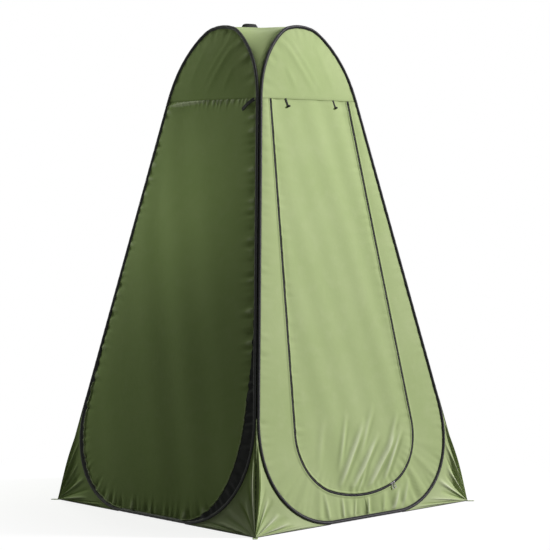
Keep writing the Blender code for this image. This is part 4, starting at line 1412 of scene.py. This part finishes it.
def add_slider(side, spot, metal):
    """A zip slider: a domed body with a waist, and the bail that its pull hangs on."""
    share = np.linspace(-1, 1, SLIDER_POINTS)
    taper = 0.86 + 0.14 * np.sin(share * SIDES[side] * np.pi / 2)
    half = SLIDER_WIDTH / 2 * taper * rounded_end(np.abs(share), 0.72, 0.3)
    waist = half * (1 - 0.10 * np.exp(-((share / 0.3) ** 2)))
    section = strap_section(waist, SLIDER_THICKNESS)
    dome = 0.25 * np.cos(share * np.pi / 2)[:, None]
    section[:, :, 1] *= 1 + dome * (section[:, :, 1] > 0)
    zero = np.zeros_like(share)
    path = np.stack([share * SLIDER_LENGTH / 2, zero, zero + SLIDER_LIFT], 1)
    across = axis_of(spot, 1)
    name, body, node = (start + side for start in ("zip_slider_body_", "slider_", "zip_slider_"))
    sweep(name, in_world(spot, path), across, section, metal, body, "zip_metal", node)

    turns = np.linspace(0, np.pi, BAIL_POINTS)
    x = BAIL_LENGTH / 2 * np.sign(np.cos(turns)) * np.abs(np.cos(turns)) ** 0.5
    z = BAIL_FOOT + (BAR_HEIGHT - BAIL_FOOT) * np.sin(turns) ** 0.6
    path = in_world(spot, np.stack([x, 0 * turns, z], 1))
    sweep("zip_bail_" + side, path, across, round_section(BAIL_R), metal, body, "zip_metal")


def add_pull(side, spot, metal):
    """A zip pull: a plate with a recess in its faces, and the eye that it hangs by."""
    share = np.linspace(0, 1, PULL_POINTS)
    neck = 0.62 + 0.38 * clamp((share - 0.12) / 0.2)
    half = PULL_WIDTH / 2 * neck * rounded_end(share, 0.9, 0.105)
    section = strap_section(half, PULL_THICKNESS)
    along = (share > 0.34) & (share < 0.88)
    recess = along[:, None] & (np.abs(section[:, :, 0]) < half[:, None] * 0.72)
    section[:, :, 1] *= np.where(recess, 0.45, 1.0)
    zero = np.zeros_like(share)
    drop = -PULL_START - (PULL_LENGTH - PULL_START) * share
    path = np.stack([zero, drop, zero + BAR_HEIGHT], 1)
    across = axis_of(spot, 0)
    name, body, node = (start + side for start in ("zip_pull_plate_", "pull_", "zip_pull_"))
    sweep(name, in_world(spot, path), across, section, metal, body, "zip_metal", node)

    turns = np.linspace(0, 2 * np.pi, EYE_POINTS)
    y = PULL_EYE_R * np.cos(turns)
    z = BAR_HEIGHT + PULL_EYE_R * np.sin(turns)
    path = in_world(spot, np.stack([0 * turns, y, z], 1))
    section = strap_section(np.full(EYE_POINTS, PULL_EYE_HALF_WIDTH), PULL_EYE_THICKNESS)
    sweep("zip_pull_eye_" + side, path, across, section, metal, body, "zip_metal")


def add_front(matrix, finishes):
    """The front wall's own pieces: the U of cloth, the door, the zip and the door's ties."""
    add_front_wall(matrix, finishes)
    add_door(matrix, finishes)
    add_zip_tape(matrix, finishes)
    add_zip_teeth(matrix, finishes)
    normal = matrix.to_3x3() @ Vector((0, 0, 1))
    for side in SIDES:
        spot = slider_seat(side, normal)
        add_slider(side, spot, finishes["metal"])
        add_pull(side, spot, finishes["metal"])
    for side in SIDES:
        add_tie(side, matrix, finishes)


def finish_hard_nodes(finishes):
    """The finish of the frame's own hoops and ferrules."""
    for name, node in frame["nodes"].items():
        if name.endswith(("_hoop", "_ferrule")):
            node.data.materials.clear()
            node.data.materials.append(finishes["wire"])


def add_floor():
    """A pale floor that keeps the tent's shadow and turns to plain white further out."""
    material = bpy.data.materials.new("pale_floor")
    floor = NodeWork(material)
    place = floor.node("ShaderNodeTexCoord", {}, {}, "Object")
    away = floor.node("ShaderNodeVectorMath", {"operation": "LENGTH"}, {0: place}, "Value")
    glow = floor.node("ShaderNodeEmission", {}, {"Color": WHITE, "Strength": FLOOR_GLOW})
    pale = floor.node("ShaderNodeBsdfDiffuse", {}, {"Color": FLOOR_PALE})
    near = floor.node("ShaderNodeAddShader", {}, {0: glow, 1: pale})
    white = floor.node("ShaderNodeEmission", {}, {"Color": WHITE, "Strength": 1.0})
    bright = floor.node("ShaderNodeMixShader", {}, {0: away.rise(*FLOOR_FADE), 1: near, 2: white})
    dull = floor.node("ShaderNodeBsdfDiffuse", {}, {"Color": FLOOR_DULL})
    shown = floor.node("ShaderNodeMixShader", {}, {0: floor.seen(), 1: dull, 2: bright})
    floor.show("Principled BSDF", "Material Output", shown)
    corners = [(x * FLOOR_HALF, y * FLOOR_HALF, 0) for x, y in ((-1, -1), (1, -1), (1, 1), (-1, 1))]
    mesh = bpy.data.meshes.new("floor")
    mesh.from_pydata(corners, [], [(0, 1, 2, 3)])
    ground = piece_of("floor", mesh, material)
    ground.location.z = -FLOOR_DROP


def add_sky():
    """A dim sky, which shows as plain white."""
    world = bpy.data.worlds.new("studio")
    bpy.context.scene.world = world
    sky = NodeWork(world)
    dim = sky.node("ShaderNodeBackground", {}, {"Color": (*LEAF_LIGHT, 1), "Strength": SKY_STRENGTH})
    white = sky.node("ShaderNodeBackground", {}, {"Color": WHITE})
    shown = sky.node("ShaderNodeMixShader", {}, {0: sky.seen(), 1: dim, 2: white})
    sky.show("Background", "World Output", shown)


def add_lamp(light, place, towards):
    """A lamp at a place, whose light comes from the direction towards."""
    lamp = bpy.data.objects.new(light.name, light)
    lamp.location = place
    lamp.rotation_euler = Vector(towards).to_track_quat("Z", "Y").to_euler()
    lamp.visible_camera = False
    bpy.context.scene.collection.objects.link(lamp)


def add_fill(name, power, size, place, towards, colour=WHITE_LIGHT, spread=math.pi):
    """A soft round lamp."""
    fill = bpy.data.lights.new(name, "AREA")
    fill.shape = "DISK"
    fill.size = size
    fill.energy = power
    fill.color = colour
    fill.spread = spread
    add_lamp(fill, place, towards)


def add_lamps():
    """A soft sun from the right, and soft lamps on the shaded walls and the roof."""
    sun = bpy.data.lights.new("soft_sun", "SUN")
    sun.energy = SUN_ENERGY
    sun.angle = SUN_ANGLE
    sun.color = SUN_LIGHT
    add_lamp(sun, (0, 0, 6), (0.71, -0.57, 0.42))
    narrow = math.radians(75)
    add_fill("left_fill", 0.2, 0.5, (-1.25, 0.10, 1.30), (-1, 0, 0.03), LEAF_LIGHT, narrow)
    add_fill("low_fill", 0.12, 0.4, (-1.0, 0.9, 0.35), (-0.65, 0.75, 0.1), LEAF_LIGHT)
    add_fill("top_fill", 4.0, 0.5, (-0.12, 0.05, 3.0), (0, 0, 1))
    add_fill("front_fill", 8.0, 0.8, (0.45, -1.5, 2.2), (0.25, -0.75, 0.6))
    add_fill("rim_fill", 13.0, 0.8, (-0.95, 2.3, 1.75), (-0.2, 0.93, 0.3), LEAF_LIGHT)
    add_fill("back_fill", 18.0, 0.8, (0.50, 2.5, 1.60), (0.1, 0.95, 0.2))


def add_camera():
    """The photograph's viewpoint, towards the corner between the left and front walls."""
    camera = bpy.data.cameras.new("camera")
    camera.lens = CAMERA_LENS
    camera.sensor_width = CAMERA_SENSOR
    holder = bpy.data.objects.new("camera", camera)
    across = CAMERA_DISTANCE * math.sin(CAMERA_AZIMUTH)
    holder.location = (across, -CAMERA_DISTANCE * math.cos(CAMERA_AZIMUTH), CAMERA_HEIGHT)
    holder.rotation_euler = (math.pi / 2 + CAMERA_TILT, 0, CAMERA_AZIMUTH - CAMERA_AIM_RIGHT)
    bpy.context.scene.collection.objects.link(holder)
    bpy.context.scene.camera = holder


def main():
    finishes = make_finishes()
    bpy.context.scene.view_settings.view_transform = "Standard"
    add_camera()
    add_floor()
    add_lamps()
    add_sky()
    for turn, wall in enumerate(WALLS):
        matrix = wall_frame(turn)
        add_sleeve(wall, turn, matrix, finishes)
        add_yoke(wall, turn, matrix, finishes)
        add_gussets(wall, turn, matrix, finishes)
        if wall == "front":
            add_front(matrix, finishes)
        else:
            add_plain_wall(wall, matrix, finishes)
    add_corner_cords(finishes)
    add_corner_strap(wall_frame(WALLS.index("left")), finishes)
    add_roof(finishes)
    add_roof_loop(finishes)
    add_peg_loops(finishes)
    finish_hard_nodes(finishes)


main()
